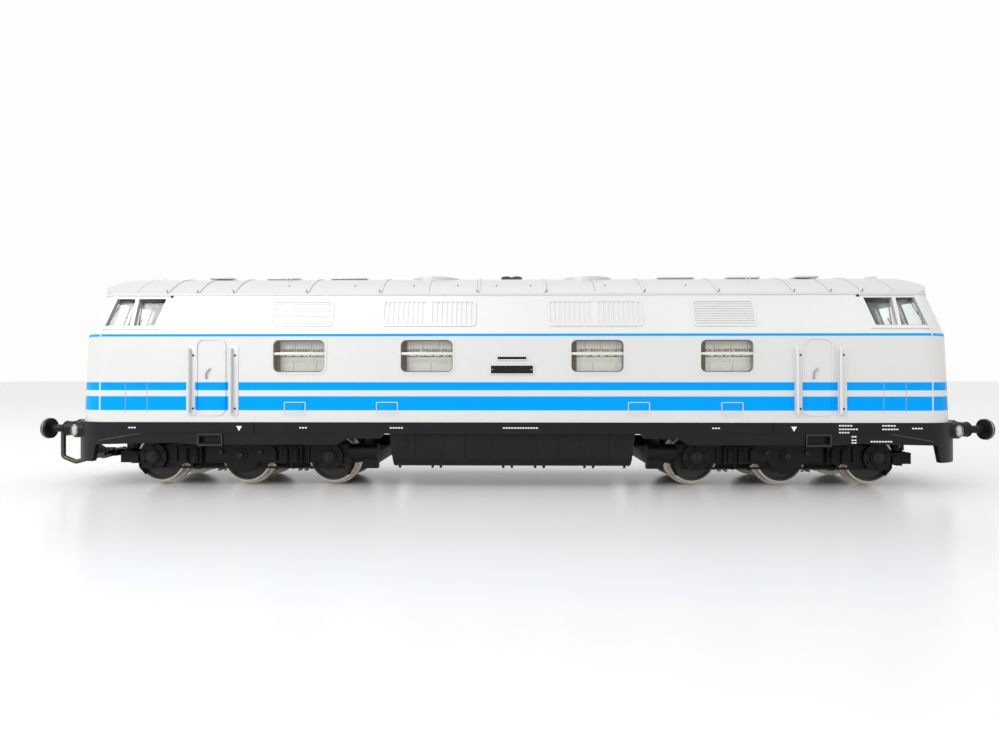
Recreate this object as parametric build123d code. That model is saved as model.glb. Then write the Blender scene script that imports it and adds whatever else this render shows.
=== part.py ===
from build123d import *
import math
import os

# Model of a six-axle, twin-cab diesel locomotive, all sizes in millimetres.
# X runs along the locomotive (its coupler end is at -X), Y across it, Z up.
# The origin is on the floor under the middle: the wheel flanges rest on Z = 0.

# Overall sizes
BODY_LENGTH = 203.6           # body shell at its lower edge; all overall lengths follow it
BODY_WIDTH = 34.8
BASE_Z = 15.4                 # where the body shell sits on the underframe
BELT_Z = 35.2                 # top of the upright sides
GUTTER_Z = 44.9               # where the leaning upper sides meet the roof
ROOF_Z = 50.2                 # crown of the roof
CORNER_R = 9.0                # plan radius of the nose corners
NOSE_LEAN = 0.9               # how far each nose leans back below the belt
SCREEN_LEAN = 3.7             # how far each windscreen leans back above the belt
SIDE_LEAN = 3.4               # how far each upper side leans in
ROOF_END = 9.0                # length of the rounded end of the roof
SHELL_WALL = 1.2
RELIEF = 0.2                  # height of the moulded lines on the shell
LEDGE_GAP = 0.2               # play between the shell and what fits inside it

# Openings in the shell
WINDOW_PLACES = (-48.4, -19.3, 19.3, 48.4)
WINDOW_LENGTH, WINDOW_HEIGHT, WINDOW_Z = 11.8, 7.3, 30.4
WINDOW_R = 1.3
DOOR_X, DOOR_WIDTH, DOOR_LOW, DOOR_TOP = 68.6, 7.0, 16.9, 34.6
DOOR_LINE = 0.45
RAIL_SPACING, RAIL_LOW, RAIL_HIGH, RAIL_R = 9.6, 17.4, 32.4, 0.35
CAB_SIDE_LOW, CAB_SIDE_HIGH = 37.4, 43.9
CAB_REAR, CAB_MIDDLE, CAB_FRONT = 21.4, 14.5, 8.2   # cab side windows, back from the nose
CAB_POST = 0.8
SCREEN_INNER, SCREEN_OUTER = 0.6, 9.0
LARGE_GRILLE_X, LARGE_GRILLE_LENGTH = 19.0, 21.6
SMALL_GRILLE_X, SMALL_GRILLE_LENGTH = 48.2, 14.4
GRILLE_LOW, GRILLE_HIGH = 37.0, 43.6
FAN_X, FAN_R = 19.0, 6.2
STACK_LENGTH, STACK_WIDTH, STACK_HEIGHT = 5.4, 4.4, 0.9
GLASS = 0.6

# Underframe
FRAME_END_PROUD = 1.2         # how far the frame stands out beyond the shell
FRAME_SIDE_PROUD = 0.1
FRAME_CORNER_PROUD = 0.6
FRAME_WALL = 1.4
BAND_LOW = 12.8               # lower edge of the band all round
SKIRT_LOW = 10.3              # lower edge of the skirt beside the bogies
APRON_LOW = 6.4               # lower edge of the corner aprons
APRON_LENGTH = 8.0            # corner apron, back from the frame's end
SKIRT_END = 73.0
CUTOUT_X = 37.6               # inner end of the skirt, where the bogie end shows
STEP_WIDTH = 5.8
BUFFER_Y, BUFFER_Z = 10.05, 13.4
BUFFER_HEAD_R, BUFFER_HEAD = 2.4, 1.3
BUFFER_NECK_R, BUFFER_HOUSING_R = 0.9, 1.7
BUFFER_NECK = 3.6
BUFFER_REACH = 8.85           # from the frame's end to the buffer's face
LAMP_Y, LAMP_Z, LAMP_R = 13.8, 13.4, 1.35
LAMP_DEPTH, LAMP_SET_BACK = 3.3, 1.1
MARKER_Z = 46.7

# Chassis block, motor and shafts
PLATE_LOW, PLATE_THICK = 16.0, 3.0
PLATE_END_GAP, PLATE_SIDE_GAP = 6.8, 2.4          # from the shell's outside to the chassis plate
BLOCK_LENGTH, BLOCK_WIDTH, BLOCK_LOW, BLOCK_TOP = 78.0, 26.0, 7.4, 26.0
WELL_LENGTH, WELL_WIDTH = 62.0, 16.6
MOTOR_LENGTH, MOTOR_WIDTH, MOTOR_HEIGHT = 26.0, 16.0, 14.0
SHAFT_R = 0.75
FLYWHEEL_R, FLYWHEEL_LENGTH, FLYWHEEL_X = 6.4, 9.0, 20.0
BOARD_LENGTH, BOARD_WIDTH, BOARD_THICK = 84.0, 22.0, 1.2
BOARD_LIFT = 9.16             # from the shaft line up to the board
POST_R = 1.6
TANK_LENGTH, TANK_WIDTH, TANK_LOW, TANK_SLANT = 56.0, 32.6, 5.2, 1.0
TANK_WALL = 1.2
TANK_CORNER_R = 2.2
SCREW_BACK, SCREW_R, SCREW_HEAD_R = 11.8, 1.0, 2.0

# Bogies and wheels
BOGIE_X = 63.2                # pivot, each way from the middle
AXLE_PITCH = 20.7
TREAD_R, FLANGE_R, FLANGE = 5.75, 6.5, 0.7
WHEEL_WIDTH, BACK_TO_BACK = 2.8, 14.4
AXLE_R = 1.0
AXLE_REACH = 11.0             # half the axle's length over its pointed ends
RUNNING_GAP = 0.05            # radial play of every shaft in its bearing
PIVOT_R = 8.6                 # bogie collar that turns in the chassis plate
SWIVEL_GAP = 0.1

# Gears
MODULE = 0.5
AXLE_TEETH, IDLER_TEETH, WHEEL_TEETH = 18, 24, 24
ADDENDUM, DEDENDUM = 0.40, 0.55
TOOTH_TIP, TOOTH_ROOT = 0.28, 0.78
GEAR_WIDTH = 2.4
WORM_PITCH_R, WORM_TURNS = 2.5, 5
WORM_ROOT_R, WORM_OUTER_R = 1.9, 2.9
PIN_R = 0.8
CUP_R, CUP_BORE_R, CUP_START, CUP_END = 3.2, 2.6, 8.4, 11.2
FORK_SLOT = 3.8
BALL_R, BALL_X = 1.0, 10.0
CARDAN_PIN_R, CARDAN_PIN = 0.35, 2.95

# Bogie castings and side frames
CHEEK_INNER, CHEEK_OUTER = 1.6, 4.6
CASTING_LOW = 5.0
CASTING_HALF = 27.0
SIDE_INNER, SIDE_OUTER = 11.6, 13.8
SIDE_TOP, SIDE_LOW = 10.0, 5.0
SIDE_END_OUT, SIDE_END_IN = 26.4, 32.0
BAR_OUT = 27.7                # cross bar beyond the outer wheels
KEEPER_LOW, KEEPER_THICK = 3.6, 1.3

# Coupler
COUPLER_Z, COUPLER_THICK = 5.9, 1.6
HOOP_WIDTH, HOOP_TOP, HOOP_LOW, HOOP_WIRE = 10.4, 13.2, 4.4, 0.55
HOOP_AHEAD, HOOK_AHEAD, HINGE_BACK = 8.2, 4.4, 2.4   # from the frame's end
PIVOT_BACK = 7.4              # coupler pivot, back from the frame's end
COUPLER_PIN_R, COUPLER_POST_R = 0.9, 1.6
COUPLER_SLOT = 14.8           # width of the slot in the frame's end that the coupler swings in

# Worked out from the sizes above
BODY_HALF = BODY_LENGTH / 2
CAB_REAR_X, CAB_POST_X, CAB_FRONT_X = BODY_HALF - CAB_REAR, BODY_HALF - CAB_MIDDLE, BODY_HALF - CAB_FRONT
FRAME_HALF = BODY_HALF + FRAME_END_PROUD
FRAME_LENGTH = 2 * FRAME_HALF
FRAME_WIDTH = BODY_WIDTH + 2 * FRAME_SIDE_PROUD
FRAME_CORNER_R = CORNER_R + FRAME_CORNER_PROUD
OVERALL_LENGTH = FRAME_LENGTH + 2 * BUFFER_REACH
APRON_X = FRAME_HALF - APRON_LENGTH
LAMP_FRONT = FRAME_HALF - LAMP_SET_BACK
LAMP_BACK = LAMP_FRONT - LAMP_DEPTH
PLATE_LENGTH = BODY_LENGTH - 2 * PLATE_END_GAP
PLATE_WIDTH = BODY_WIDTH - 2 * PLATE_SIDE_GAP
SCREW_X = BODY_HALF - SCREW_BACK
HOOP_X, HOOK_X, HOOP_HINGE_X = FRAME_HALF + HOOP_AHEAD, FRAME_HALF + HOOK_AHEAD, FRAME_HALF - HINGE_BACK
COUPLER_PIVOT_X = FRAME_HALF - PIVOT_BACK
AXLE_Z = FLANGE_R
AXLE_GEAR_R = MODULE * AXLE_TEETH / 2
IDLER_R = MODULE * IDLER_TEETH / 2
WHEEL_GEAR_R = MODULE * WHEEL_TEETH / 2
IDLER_U = AXLE_PITCH / 2
IDLER_Z = AXLE_Z + math.sqrt((AXLE_GEAR_R + IDLER_R) ** 2 - (AXLE_PITCH - IDLER_U) ** 2)
WHEEL_GEAR_Z = IDLER_Z + math.sqrt((WHEEL_GEAR_R + IDLER_R) ** 2 - IDLER_U**2)
WORM_Z = WHEEL_GEAR_Z + WHEEL_GEAR_R + WORM_PITCH_R
BOARD_Z = WORM_Z + BOARD_LIFT
WORM_LEAD = math.pi * MODULE
WORM_LENGTH = WORM_TURNS * WORM_LEAD
PLATE_TOP = PLATE_LOW + PLATE_THICK
MIN3 = (Align.CENTER, Align.CENTER, Align.MIN)


def save(shape, name):
    """Write one node; several solids stay one group."""
    export_step(shape, f"parts/{name}.step")


def block(x0, x1, y0, y1, z0, z1):
    """A box between three pairs of limits, given in either order."""
    size = (abs(x1 - x0), abs(y1 - y0), abs(z1 - z0))
    return Pos((x0 + x1) / 2, (y0 + y1) / 2, (z0 + z1) / 2) * Box(*size)


def rod_x(radius, x0, x1, y, z):
    """A round bar along X."""
    bar = Rot(0, 90, 0) * Cylinder(radius, abs(x1 - x0))
    return Pos((x0 + x1) / 2, y, z) * bar


def rod_y(radius, x, y0, y1, z):
    """A round bar along Y."""
    bar = Rot(90, 0, 0) * Cylinder(radius, abs(y1 - y0))
    return Pos(x, (y0 + y1) / 2, z) * bar


def rod_z(radius, x, y, z0, z1):
    """A round bar along Z."""
    return Pos(x, y, (z0 + z1) / 2) * Cylinder(radius, abs(z1 - z0))


def side_profile(points, y0, y1):
    """A polygon given in X and Z, extruded across from y0 to y1."""
    face = Plane.XZ.offset(-min(y0, y1)) * Polygon(*points, align=None)
    return extrude(face, abs(y1 - y0), dir=(0, 1, 0))


def both_sides(shape):
    """The shape and its mirror image across the middle."""
    return [shape, mirror(shape, Plane.XZ)]


def four_corners(shape):
    """The shape mirrored into all four corners of the locomotive."""
    return both_sides(shape) + [mirror(part, Plane.YZ) for part in both_sides(shape)]


def group(shapes):
    """Separate solids in one node."""
    return Compound(children=[solid for shape in shapes for solid in shape.solids()])


# ---------------------------------------------------------------- body shell

def shell_form(inset, low):
    """The body's outer form, or the form of its hollow when inset is a wall."""
    belt_length = BODY_LENGTH - 2 * NOSE_LEAN
    gutter_length = belt_length - 2 * SCREEN_LEAN
    gutter_width = BODY_WIDTH - 2 * SIDE_LEAN
    gutter_r = CORNER_R - SIDE_LEAN

    def plan(length, width, radius, z):
        return Pos(0, 0, z) * RectangleRounded(
            length - 2 * inset, width - 2 * inset, radius - inset
        )

    lower = loft(
        [plan(BODY_LENGTH, BODY_WIDTH, CORNER_R, low),
         plan(belt_length, BODY_WIDTH, CORNER_R, BELT_Z)], ruled=True
    )
    upper = loft(
        [plan(belt_length, BODY_WIDTH, CORNER_R, BELT_Z),
         plan(gutter_length, gutter_width, gutter_r, GUTTER_Z)], ruled=True
    )
    top = ROOF_Z - GUTTER_Z
    cap = extrude(plan(gutter_length, gutter_width, gutter_r, GUTTER_Z), top)
    cap = cap & roof_arch(-inset, gutter_length)
    half = gutter_length / 2 - inset
    crown = ROOF_Z - inset
    end = crown - GUTTER_Z
    line = Polyline(
        (-half + ROOF_END, crown), (half - ROOF_END, crown)
    )
    right = ThreePointArc(
        (half - ROOF_END, crown),
        (half - ROOF_END * (1 - math.sin(math.pi / 4)), GUTTER_Z + end * math.cos(math.pi / 4)),
        (half, GUTTER_Z),
    )
    left = mirror(right, Plane.YZ)
    base = Line((-half, GUTTER_Z), (half, GUTTER_Z))
    outline = Plane.XZ * make_face([line, right, left, base])
    return lower + upper + (cap & extrude(outline, BODY_WIDTH, both=True))


def roof_arch(grow, length):
    """The round roof's full-length prism, grown outward by a small step."""
    half = BODY_WIDTH / 2 - SIDE_LEAN
    rise = ROOF_Z - GUTTER_Z
    radius = (half**2 + rise**2) / (2 * rise)
    return rod_x(radius + grow, -length / 2, length / 2, 0, ROOF_Z - radius)


def leaning_plane(x, z):
    """A plane on the leaning upper side at y < 0, facing outward, X along."""
    drop = (z - BELT_Z) / (GUTTER_Z - BELT_Z)
    y = -BODY_WIDTH / 2 + SIDE_LEAN * drop
    normal = (0, -(GUTTER_Z - BELT_Z), SIDE_LEAN)
    return Plane(origin=(x, y, z), x_dir=(1, 0, 0), z_dir=normal)


def frame_ring(length, height, radius, line):
    """The sketch of a thin rounded frame."""
    outer = RectangleRounded(length, height, radius)
    inner = RectangleRounded(length - 2 * line, height - 2 * line, radius - line * 0.6)
    return outer - inner


def grille_relief(x, length, upright):
    """The raised frame and bars of one grille on the leaning side at y < 0."""
    height = GRILLE_HIGH - GRILLE_LOW
    place = leaning_plane(x, (GRILLE_HIGH + GRILLE_LOW) / 2)
    relief = [extrude(place * frame_ring(length, height, 0.9, 0.5), RELIEF, both=True)]
    if upright:
        bars, pitch = 18, (length - 1.6) / 18
        sizes = [((n - (bars - 1) / 2) * pitch, 0.0, 0.42, height - 0.9) for n in range(bars)]
        sizes.append((0.0, 0.0, 0.9, height - 0.9))
    else:
        bars, pitch = 9, (height - 1.2) / 9
        sizes = [(0.0, (n - (bars - 1) / 2) * pitch, length - 0.9, 0.3) for n in range(bars)]
    for across, up, wide, tall in sizes:
        bar = place * Pos(across, up) * Rectangle(wide, tall)
        relief.append(extrude(bar, RELIEF * 0.8, both=True))
    return relief


def body_shell():
    """The one-piece silver body moulding, hollow and open below."""
    shell = shell_form(0, BASE_Z) - shell_form(SHELL_WALL, BASE_Z)
    cuts = []
    for x in WINDOW_PLACES:
        pane = Plane.XZ * Pos(x, WINDOW_Z) * RectangleRounded(WINDOW_LENGTH, WINDOW_HEIGHT, WINDOW_R)
        cuts.append(extrude(pane, BODY_WIDTH, both=True))
    for end in (-1, 1):
        cuts += [side_profile(points, -BODY_WIDTH, BODY_WIDTH) for points in cab_side_outlines(end)]
        for side in (-1, 1):
            cuts.append(block(end * (BODY_LENGTH / 2 - CORNER_R), end * BODY_LENGTH, side * SCREEN_INNER,
                              side * SCREEN_OUTER, CAB_SIDE_LOW, CAB_SIDE_HIGH))
        cuts.append(rod_x(LAMP_R, end * (BODY_HALF - 1.3 * CORNER_R), end * (BODY_HALF + CORNER_R), 0, MARKER_Z))
    for end in (-1, 1):
        cuts.append(rod_z(FAN_R, end * FAN_X, 0, ROOF_Z - 4, ROOF_Z + 2))
    cuts.append(block(-STACK_LENGTH / 2, STACK_LENGTH / 2, -STACK_WIDTH / 2, STACK_WIDTH / 2,
                      ROOF_Z - 4, ROOF_Z + 2))
    shell = shell - cuts

    relief = []
    side_face = Plane.XZ.offset(BODY_WIDTH / 2)
    door_mid, door_height = (DOOR_LOW + DOOR_TOP) / 2, DOOR_TOP - DOOR_LOW
    for end in (-1, 1):
        outline = frame_ring(DOOR_WIDTH, door_height, 1.8, DOOR_LINE)
        relief.append(extrude(side_face * Pos(end * DOOR_X, door_mid) * outline, RELIEF, both=True))
    for x in WINDOW_PLACES:
        rim = RectangleRounded(WINDOW_LENGTH + 0.9, WINDOW_HEIGHT + 0.9, WINDOW_R + 0.45)
        rim -= RectangleRounded(WINDOW_LENGTH, WINDOW_HEIGHT, WINDOW_R)
        relief.append(extrude(side_face * Pos(x, WINDOW_Z) * rim, RELIEF * 0.6, both=True))
    for end in (-1, 1):
        relief += grille_relief(end * LARGE_GRILLE_X, LARGE_GRILLE_LENGTH, True)
        relief += grille_relief(end * SMALL_GRILLE_X, SMALL_GRILLE_LENGTH, False)
    relief += [mirror(part, Plane.XZ) for part in relief]
    shell = shell + relief

    gutter_length = BODY_LENGTH - 2 * NOSE_LEAN - 2 * SCREEN_LEAN
    gutter_width = BODY_WIDTH - 2 * SIDE_LEAN
    gutter = RectangleRounded(gutter_length + 0.5, gutter_width + 0.5, CORNER_R - SIDE_LEAN + 0.25)
    gutter -= RectangleRounded(gutter_length - 1.0, gutter_width - 1.0, CORNER_R - SIDE_LEAN - 0.5)
    shell = shell + extrude(Pos(0, 0, GUTTER_Z - 0.25) * gutter, 0.5)
    seam = roof_arch(RELIEF, 0.6) - roof_arch(-0.6, 2)
    seam = seam & block(-1, 1, -gutter_width / 2, gutter_width / 2, GUTTER_Z, ROOF_Z + 1)
    places = [7.8, 30.6, 47.7, 65.0, 73.4, 80.6]
    shell = shell + [Pos(end * x, 0, 0) * seam for x in places for end in (-1, 1)]
    return shell


def cab_side_outlines(end):
    """Outlines in X and Z of the two side windows of the cab at one end."""
    lean = 1.6
    rear = [(CAB_REAR_X + lean, CAB_SIDE_LOW), (CAB_POST_X - CAB_POST / 2, CAB_SIDE_LOW),
            (CAB_POST_X - CAB_POST / 2, CAB_SIDE_HIGH), (CAB_REAR_X, CAB_SIDE_HIGH)]
    front = [(CAB_POST_X + CAB_POST / 2, CAB_SIDE_LOW), (CAB_FRONT_X, CAB_SIDE_LOW),
             (CAB_FRONT_X - lean, CAB_SIDE_HIGH), (CAB_POST_X + CAB_POST / 2, CAB_SIDE_HIGH)]
    return [[(end * x, z) for x, z in outline] for outline in (rear, front)]


def cab_glazing(end):
    """The clear moulding inside one cab: windscreen and side windows in one."""
    outside = SHELL_WALL + LEDGE_GAP / 4
    skin = shell_form(outside, BASE_Z) - shell_form(outside + GLASS, BASE_Z)
    return skin & block(end * (CAB_REAR_X - 1.5), end * BODY_LENGTH, -BODY_WIDTH, BODY_WIDTH,
                        CAB_SIDE_LOW - 1, CAB_SIDE_HIGH + 0.7)


def machine_room_windows():
    """Clear strips with raised panes that fill the machine-room openings."""
    strips = []
    inner = BODY_WIDTH / 2 - SHELL_WALL
    span = WINDOW_PLACES[-1] + WINDOW_LENGTH / 2 + 1.5
    strip = block(-span, span, -inner + GLASS, -inner, WINDOW_Z - WINDOW_HEIGHT / 2 - 1,
                  WINDOW_Z + WINDOW_HEIGHT / 2 + 0.9)
    for x in WINDOW_PLACES:
        pane = RectangleRounded(WINDOW_LENGTH - 0.1, WINDOW_HEIGHT - 0.1, WINDOW_R - 0.05)
        face = Plane.XZ.offset(inner) * Pos(x, WINDOW_Z) * pane
        strip = strip + extrude(face, SHELL_WALL - 0.5)
    strips += both_sides(strip)
    return group(strips)


def machine_room_inserts():
    """Printed cards just behind the machine-room windows."""
    y = BODY_WIDTH / 2 - SHELL_WALL - GLASS - 0.8
    span = WINDOW_PLACES[-1] + WINDOW_LENGTH / 2 + 1.0
    card = block(-span, span, -y, -y + 0.4, BOARD_Z - 12.0, BELT_Z - 0.6)
    return group(both_sides(card))


def cab_interior(end):
    """Cab floor, bulkhead, desk and two seats as one moulding."""
    rear, front = end * (CAB_REAR_X - 3), end * (CAB_REAR_X + 13.5)
    half = BODY_WIDTH / 2 - SHELL_WALL - 2.4
    floor = block(rear, front, -half, half, 27.0, 28.0)
    bulkhead = block(rear, rear + end * 1.0, -half + 1.2, half - 1.2, 28.0, 42.6)
    desk = side_profile([(front - end * 5.5, 28.0), (front, 28.0), (front, 36.0), (front - end * 4.0, 35.0)],
                        -half + 4.5, half - 4.5)
    shape = floor + bulkhead + desk
    for side in (-1, 1):
        x, y = rear + end * 5.5, side * 5.2
        shape += block(x - 1.8, x + 1.8, y - 2.2, y + 2.2, 28.0, 31.0)
        shape += block(x - end * 1.8, x - end * 1.0, y - 2.0, y + 2.0, 31.0, 36.5)
    for side in (-1, 1):
        shape += rod_z(1.4, rear + end * 2.4, side * (half - 3), PLATE_TOP, 27.0)
    return shape


def exhaust_stack():
    """Twin exhaust outlet set into the middle of the roof."""
    stack = block(-STACK_LENGTH / 2 + 0.1, STACK_LENGTH / 2 - 0.1, -STACK_WIDTH / 2 + 0.1,
                  STACK_WIDTH / 2 - 0.1, ROOF_Z - 2.6, ROOF_Z + STACK_HEIGHT - 0.4)
    for x in (-1.3, 1.3):
        stack += rod_z(1.0, x, 0, ROOF_Z, ROOF_Z + STACK_HEIGHT)
        stack -= rod_z(0.7, x, 0, ROOF_Z - 0.8, ROOF_Z + STACK_HEIGHT)
    return stack


def roof_fan_grille(x):
    """A round grille with rings and spokes over one cooling fan."""
    low, high = ROOF_Z - 1.5, ROOF_Z + 0.1
    outer = FAN_R - 0.1
    grille = rod_z(outer, x, 0, low, high) - rod_z(outer - 0.6, x, 0, low - 1, high + 1)
    for radius in (1.4, 2.8, 4.2):
        ring = rod_z(radius + 0.2, x, 0, high - 0.5, high - 0.1)
        grille += ring - rod_z(radius - 0.2, x, 0, low, high + 1)
    spoke = block(x - outer + 0.3, x + outer - 0.3, -0.2, 0.2, high - 0.8, high - 0.2)
    for n in range(4):
        grille += Pos(x, 0, 0) * Rot(0, 0, 45 * n) * Pos(-x, 0, 0) * spoke
    grille += rod_z(0.9, x, 0, high - 0.8, high)
    return grille


def number_plate():
    """A blank plate fixed to the middle of one side."""
    low = side_profile([(-4.9, 26.3), (4.9, 26.3), (4.9, 28.4), (-4.9, 28.4)],
                       -BODY_WIDTH / 2 - 0.2, -BODY_WIDTH / 2)
    high = side_profile([(-3.4, 29.5), (3.4, 29.5), (3.4, 30.4), (-3.4, 30.4)],
                        -BODY_WIDTH / 2 - 0.2, -BODY_WIDTH / 2)
    return [low, high]


def door_handrails():
    """Two wire handrails beside each cab door, held off by short feet."""
    rails = []
    for side in (-1, 1):
        x = DOOR_X + side * RAIL_SPACING / 2
        y = -BODY_WIDTH / 2 - 0.75
        rail = rod_z(RAIL_R, x, y, RAIL_LOW, RAIL_HIGH)
        for z in (RAIL_LOW + 0.6, RAIL_HIGH - 0.6):
            rail += rod_y(RAIL_R - 0.05, x, y, -BODY_WIDTH / 2, z)
        rails += four_corners(rail)
    return group(rails)


def lamp_lenses():
    """Clear lenses of the two lower lamps and the roof lamp at each end."""
    gutter_half = BODY_LENGTH / 2 - NOSE_LEAN - SCREEN_LEAN
    lenses = []
    for end in (-1, 1):
        lenses.append(rod_x(LAMP_R - 0.05, end * (gutter_half - 4), end * (gutter_half - 0.2), 0, MARKER_Z))
    lenses += four_corners(rod_x(LAMP_R - 0.05, LAMP_BACK, LAMP_FRONT - 0.3, LAMP_Y, LAMP_Z))
    return group(lenses)


# ---------------------------------------------------------------- underframe

def underframe():
    """The black ring under the body: band, skirts, buffer beams and aprons."""
    outer = RectangleRounded(FRAME_LENGTH, FRAME_WIDTH, FRAME_CORNER_R)
    inner = offset(outer, -FRAME_WALL)
    ring = extrude(Pos(0, 0, APRON_LOW) * (outer - inner), BASE_Z - APRON_LOW)
    trims = []
    for end in (-1, 1):
        cutout = [(0, APRON_LOW - 1), (0, BAND_LOW), (TANK_LENGTH / 2 + 1, BAND_LOW),
                  (TANK_LENGTH / 2 + 2, SKIRT_LOW + 1.4), (CUTOUT_X, SKIRT_LOW + 1.4),
                  (CUTOUT_X + 2, SKIRT_LOW), (SKIRT_END, SKIRT_LOW),
                  (SKIRT_END + 4, SKIRT_LOW + 0.4), (APRON_X, SKIRT_LOW), (APRON_X + 1.2, APRON_LOW - 1)]
        points = [(end * x, z) for x, z in cutout]
        trims.append(side_profile(points, -FRAME_WIDTH, FRAME_WIDTH))
        trims.append(block(end * APRON_X, end * FRAME_LENGTH, -COUPLER_SLOT / 2, COUPLER_SLOT / 2,
                           APRON_LOW - 1, SKIRT_LOW))
    ring = ring - trims
    ledge_outer = RectangleRounded(BODY_LENGTH - 2 * SHELL_WALL - 2 * LEDGE_GAP,
                                   BODY_WIDTH - 2 * SHELL_WALL - 2 * LEDGE_GAP, CORNER_R - SHELL_WALL - LEDGE_GAP)
    ledge_inner = RectangleRounded(PLATE_LENGTH - 6, BODY_WIDTH - 8, 5)
    ring += extrude(Pos(0, 0, BASE_Z - 1.0) * (RectangleRounded(FRAME_LENGTH - 1, FRAME_WIDTH - 1, FRAME_CORNER_R - 0.5)
                                               - ledge_inner), 1.0)
    ring += extrude(Pos(0, 0, BASE_Z - 0.5) * (ledge_outer - ledge_inner), PLATE_LOW - BASE_Z + 0.5)

    coupler_top = COUPLER_Z + COUPLER_THICK
    for end in (-1, 1):
        ring += rod_z(COUPLER_POST_R, end * COUPLER_PIVOT_X, 0, coupler_top + 0.1, BASE_Z - 0.5)
        ring += rod_z(COUPLER_PIN_R, end * COUPLER_PIVOT_X, 0, COUPLER_Z - 0.5, coupler_top + 0.4)
    for part in four_corners(rod_x(LAMP_R + 0.5, LAMP_BACK, LAMP_FRONT, LAMP_Y, LAMP_Z)):
        ring += part
    for part in four_corners(rod_x(LAMP_R, LAMP_BACK - 1, FRAME_HALF + 1, LAMP_Y, LAMP_Z)):
        ring -= part
    housing_end = OVERALL_LENGTH / 2 - BUFFER_HEAD - BUFFER_NECK
    housing = rod_x(BUFFER_HOUSING_R, FRAME_HALF - 3.5, housing_end, BUFFER_Y, BUFFER_Z)
    collar = rod_x(BUFFER_HOUSING_R + 0.5, FRAME_HALF - 1.0, FRAME_HALF + 0.7, BUFFER_Y, BUFFER_Z)
    socket = rod_x(BUFFER_NECK_R, FRAME_HALF - 2.5, housing_end + 1, BUFFER_Y, BUFFER_Z)
    for part in four_corners(housing) + four_corners(collar):
        ring += part
    for part in four_corners(socket):
        ring -= part

    relief = []
    face = FRAME_WIDTH / 2
    step = block(DOOR_X - STEP_WIDTH / 2, DOOR_X + STEP_WIDTH / 2, -face - 0.3, -face + 1.0,
                 SKIRT_LOW - 0.3, BAND_LOW - 0.1)
    step -= block(DOOR_X - STEP_WIDTH / 2 + 0.5, DOOR_X + STEP_WIDTH / 2 - 0.5, -face - 1, -face + 0.8,
                  SKIRT_LOW + 0.3, BAND_LOW - 0.5)
    hollow = block(DOOR_X - STEP_WIDTH / 2 + 0.5, DOOR_X + STEP_WIDTH / 2 - 0.5, -face - 1, -face + 0.8,
                   SKIRT_LOW + 0.3, BAND_LOW - 0.5)
    for part in four_corners(hollow):
        ring -= part
    relief += four_corners(step)
    relief += four_corners(block(58.6, 59.2, -face - RELIEF, -face + 0.5, BAND_LOW, BASE_Z))
    bead = [(CUTOUT_X + 2, -face - 0.15), (APRON_X - 10, -face - 0.15), (APRON_X - 10, -face + 0.5),
            (CUTOUT_X + 2, -face + 0.5)]
    strip = extrude(Pos(0, 0, BAND_LOW) * Polygon(*bead, align=None), 0.25)
    relief += four_corners(strip)
    return ring + relief


def buffers():
    """Four rigid buffers: a domed head on a neck pushed into its socket."""
    reach = OVERALL_LENGTH / 2
    head = rod_x(BUFFER_HEAD_R, reach - BUFFER_HEAD, reach, BUFFER_Y, BUFFER_Z)
    head = fillet(head.edges().filter_by(GeomType.CIRCLE).group_by(Axis.X)[-1], 0.5)
    neck = rod_x(BUFFER_NECK_R, FRAME_HALF - 2.5, reach - BUFFER_HEAD, BUFFER_Y, BUFFER_Z)
    return group(four_corners(head + neck))


def fuel_tank():
    """The black tank moulding under the middle, open at the top."""
    half, low = TANK_LENGTH / 2, TANK_LOW
    points = [(-half, BAND_LOW), (-half + TANK_SLANT, low), (half - TANK_SLANT, low), (half, BAND_LOW)]
    tank = side_profile(points, -TANK_WIDTH / 2, TANK_WIDTH / 2)
    low_edges = tank.edges().filter_by(Axis.X).group_by(Axis.Z)[0]
    tank = fillet(low_edges, TANK_CORNER_R)
    hollow = block(-half + TANK_SLANT + TANK_WALL, half - TANK_SLANT - TANK_WALL, -BLOCK_WIDTH / 2 - 0.2,
                   BLOCK_WIDTH / 2 + 0.2, low + TANK_WALL + 0.4, BAND_LOW + 1)
    tank = tank - hollow
    lip = block(-half, half, -FRAME_WIDTH / 2 + FRAME_WALL, -BLOCK_WIDTH / 2 - 0.2, BAND_LOW, BASE_Z - 1.0)
    tank = tank + both_sides(lip)
    seams = []
    for x in (-22.0, -10.6, 10.6, 22.0):
        seams += both_sides(block(x - 0.15, x + 0.15, -TANK_WIDTH / 2 - 0.1, -TANK_WIDTH / 2 + 0.15, 6, 14))
    tank = tank - seams
    feet = []
    for x in (-26.0, -18.4, -16.5, -2.0, 0.0, 5.4, 7.4, 16.8, 18.8, 26.0):
        feet += both_sides(rod_z(0.3, x, -TANK_WIDTH / 2 + 2.8, low - 0.6, low + 0.3))
    return tank + feet


# -------------------------------------------------------- chassis and motor

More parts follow.
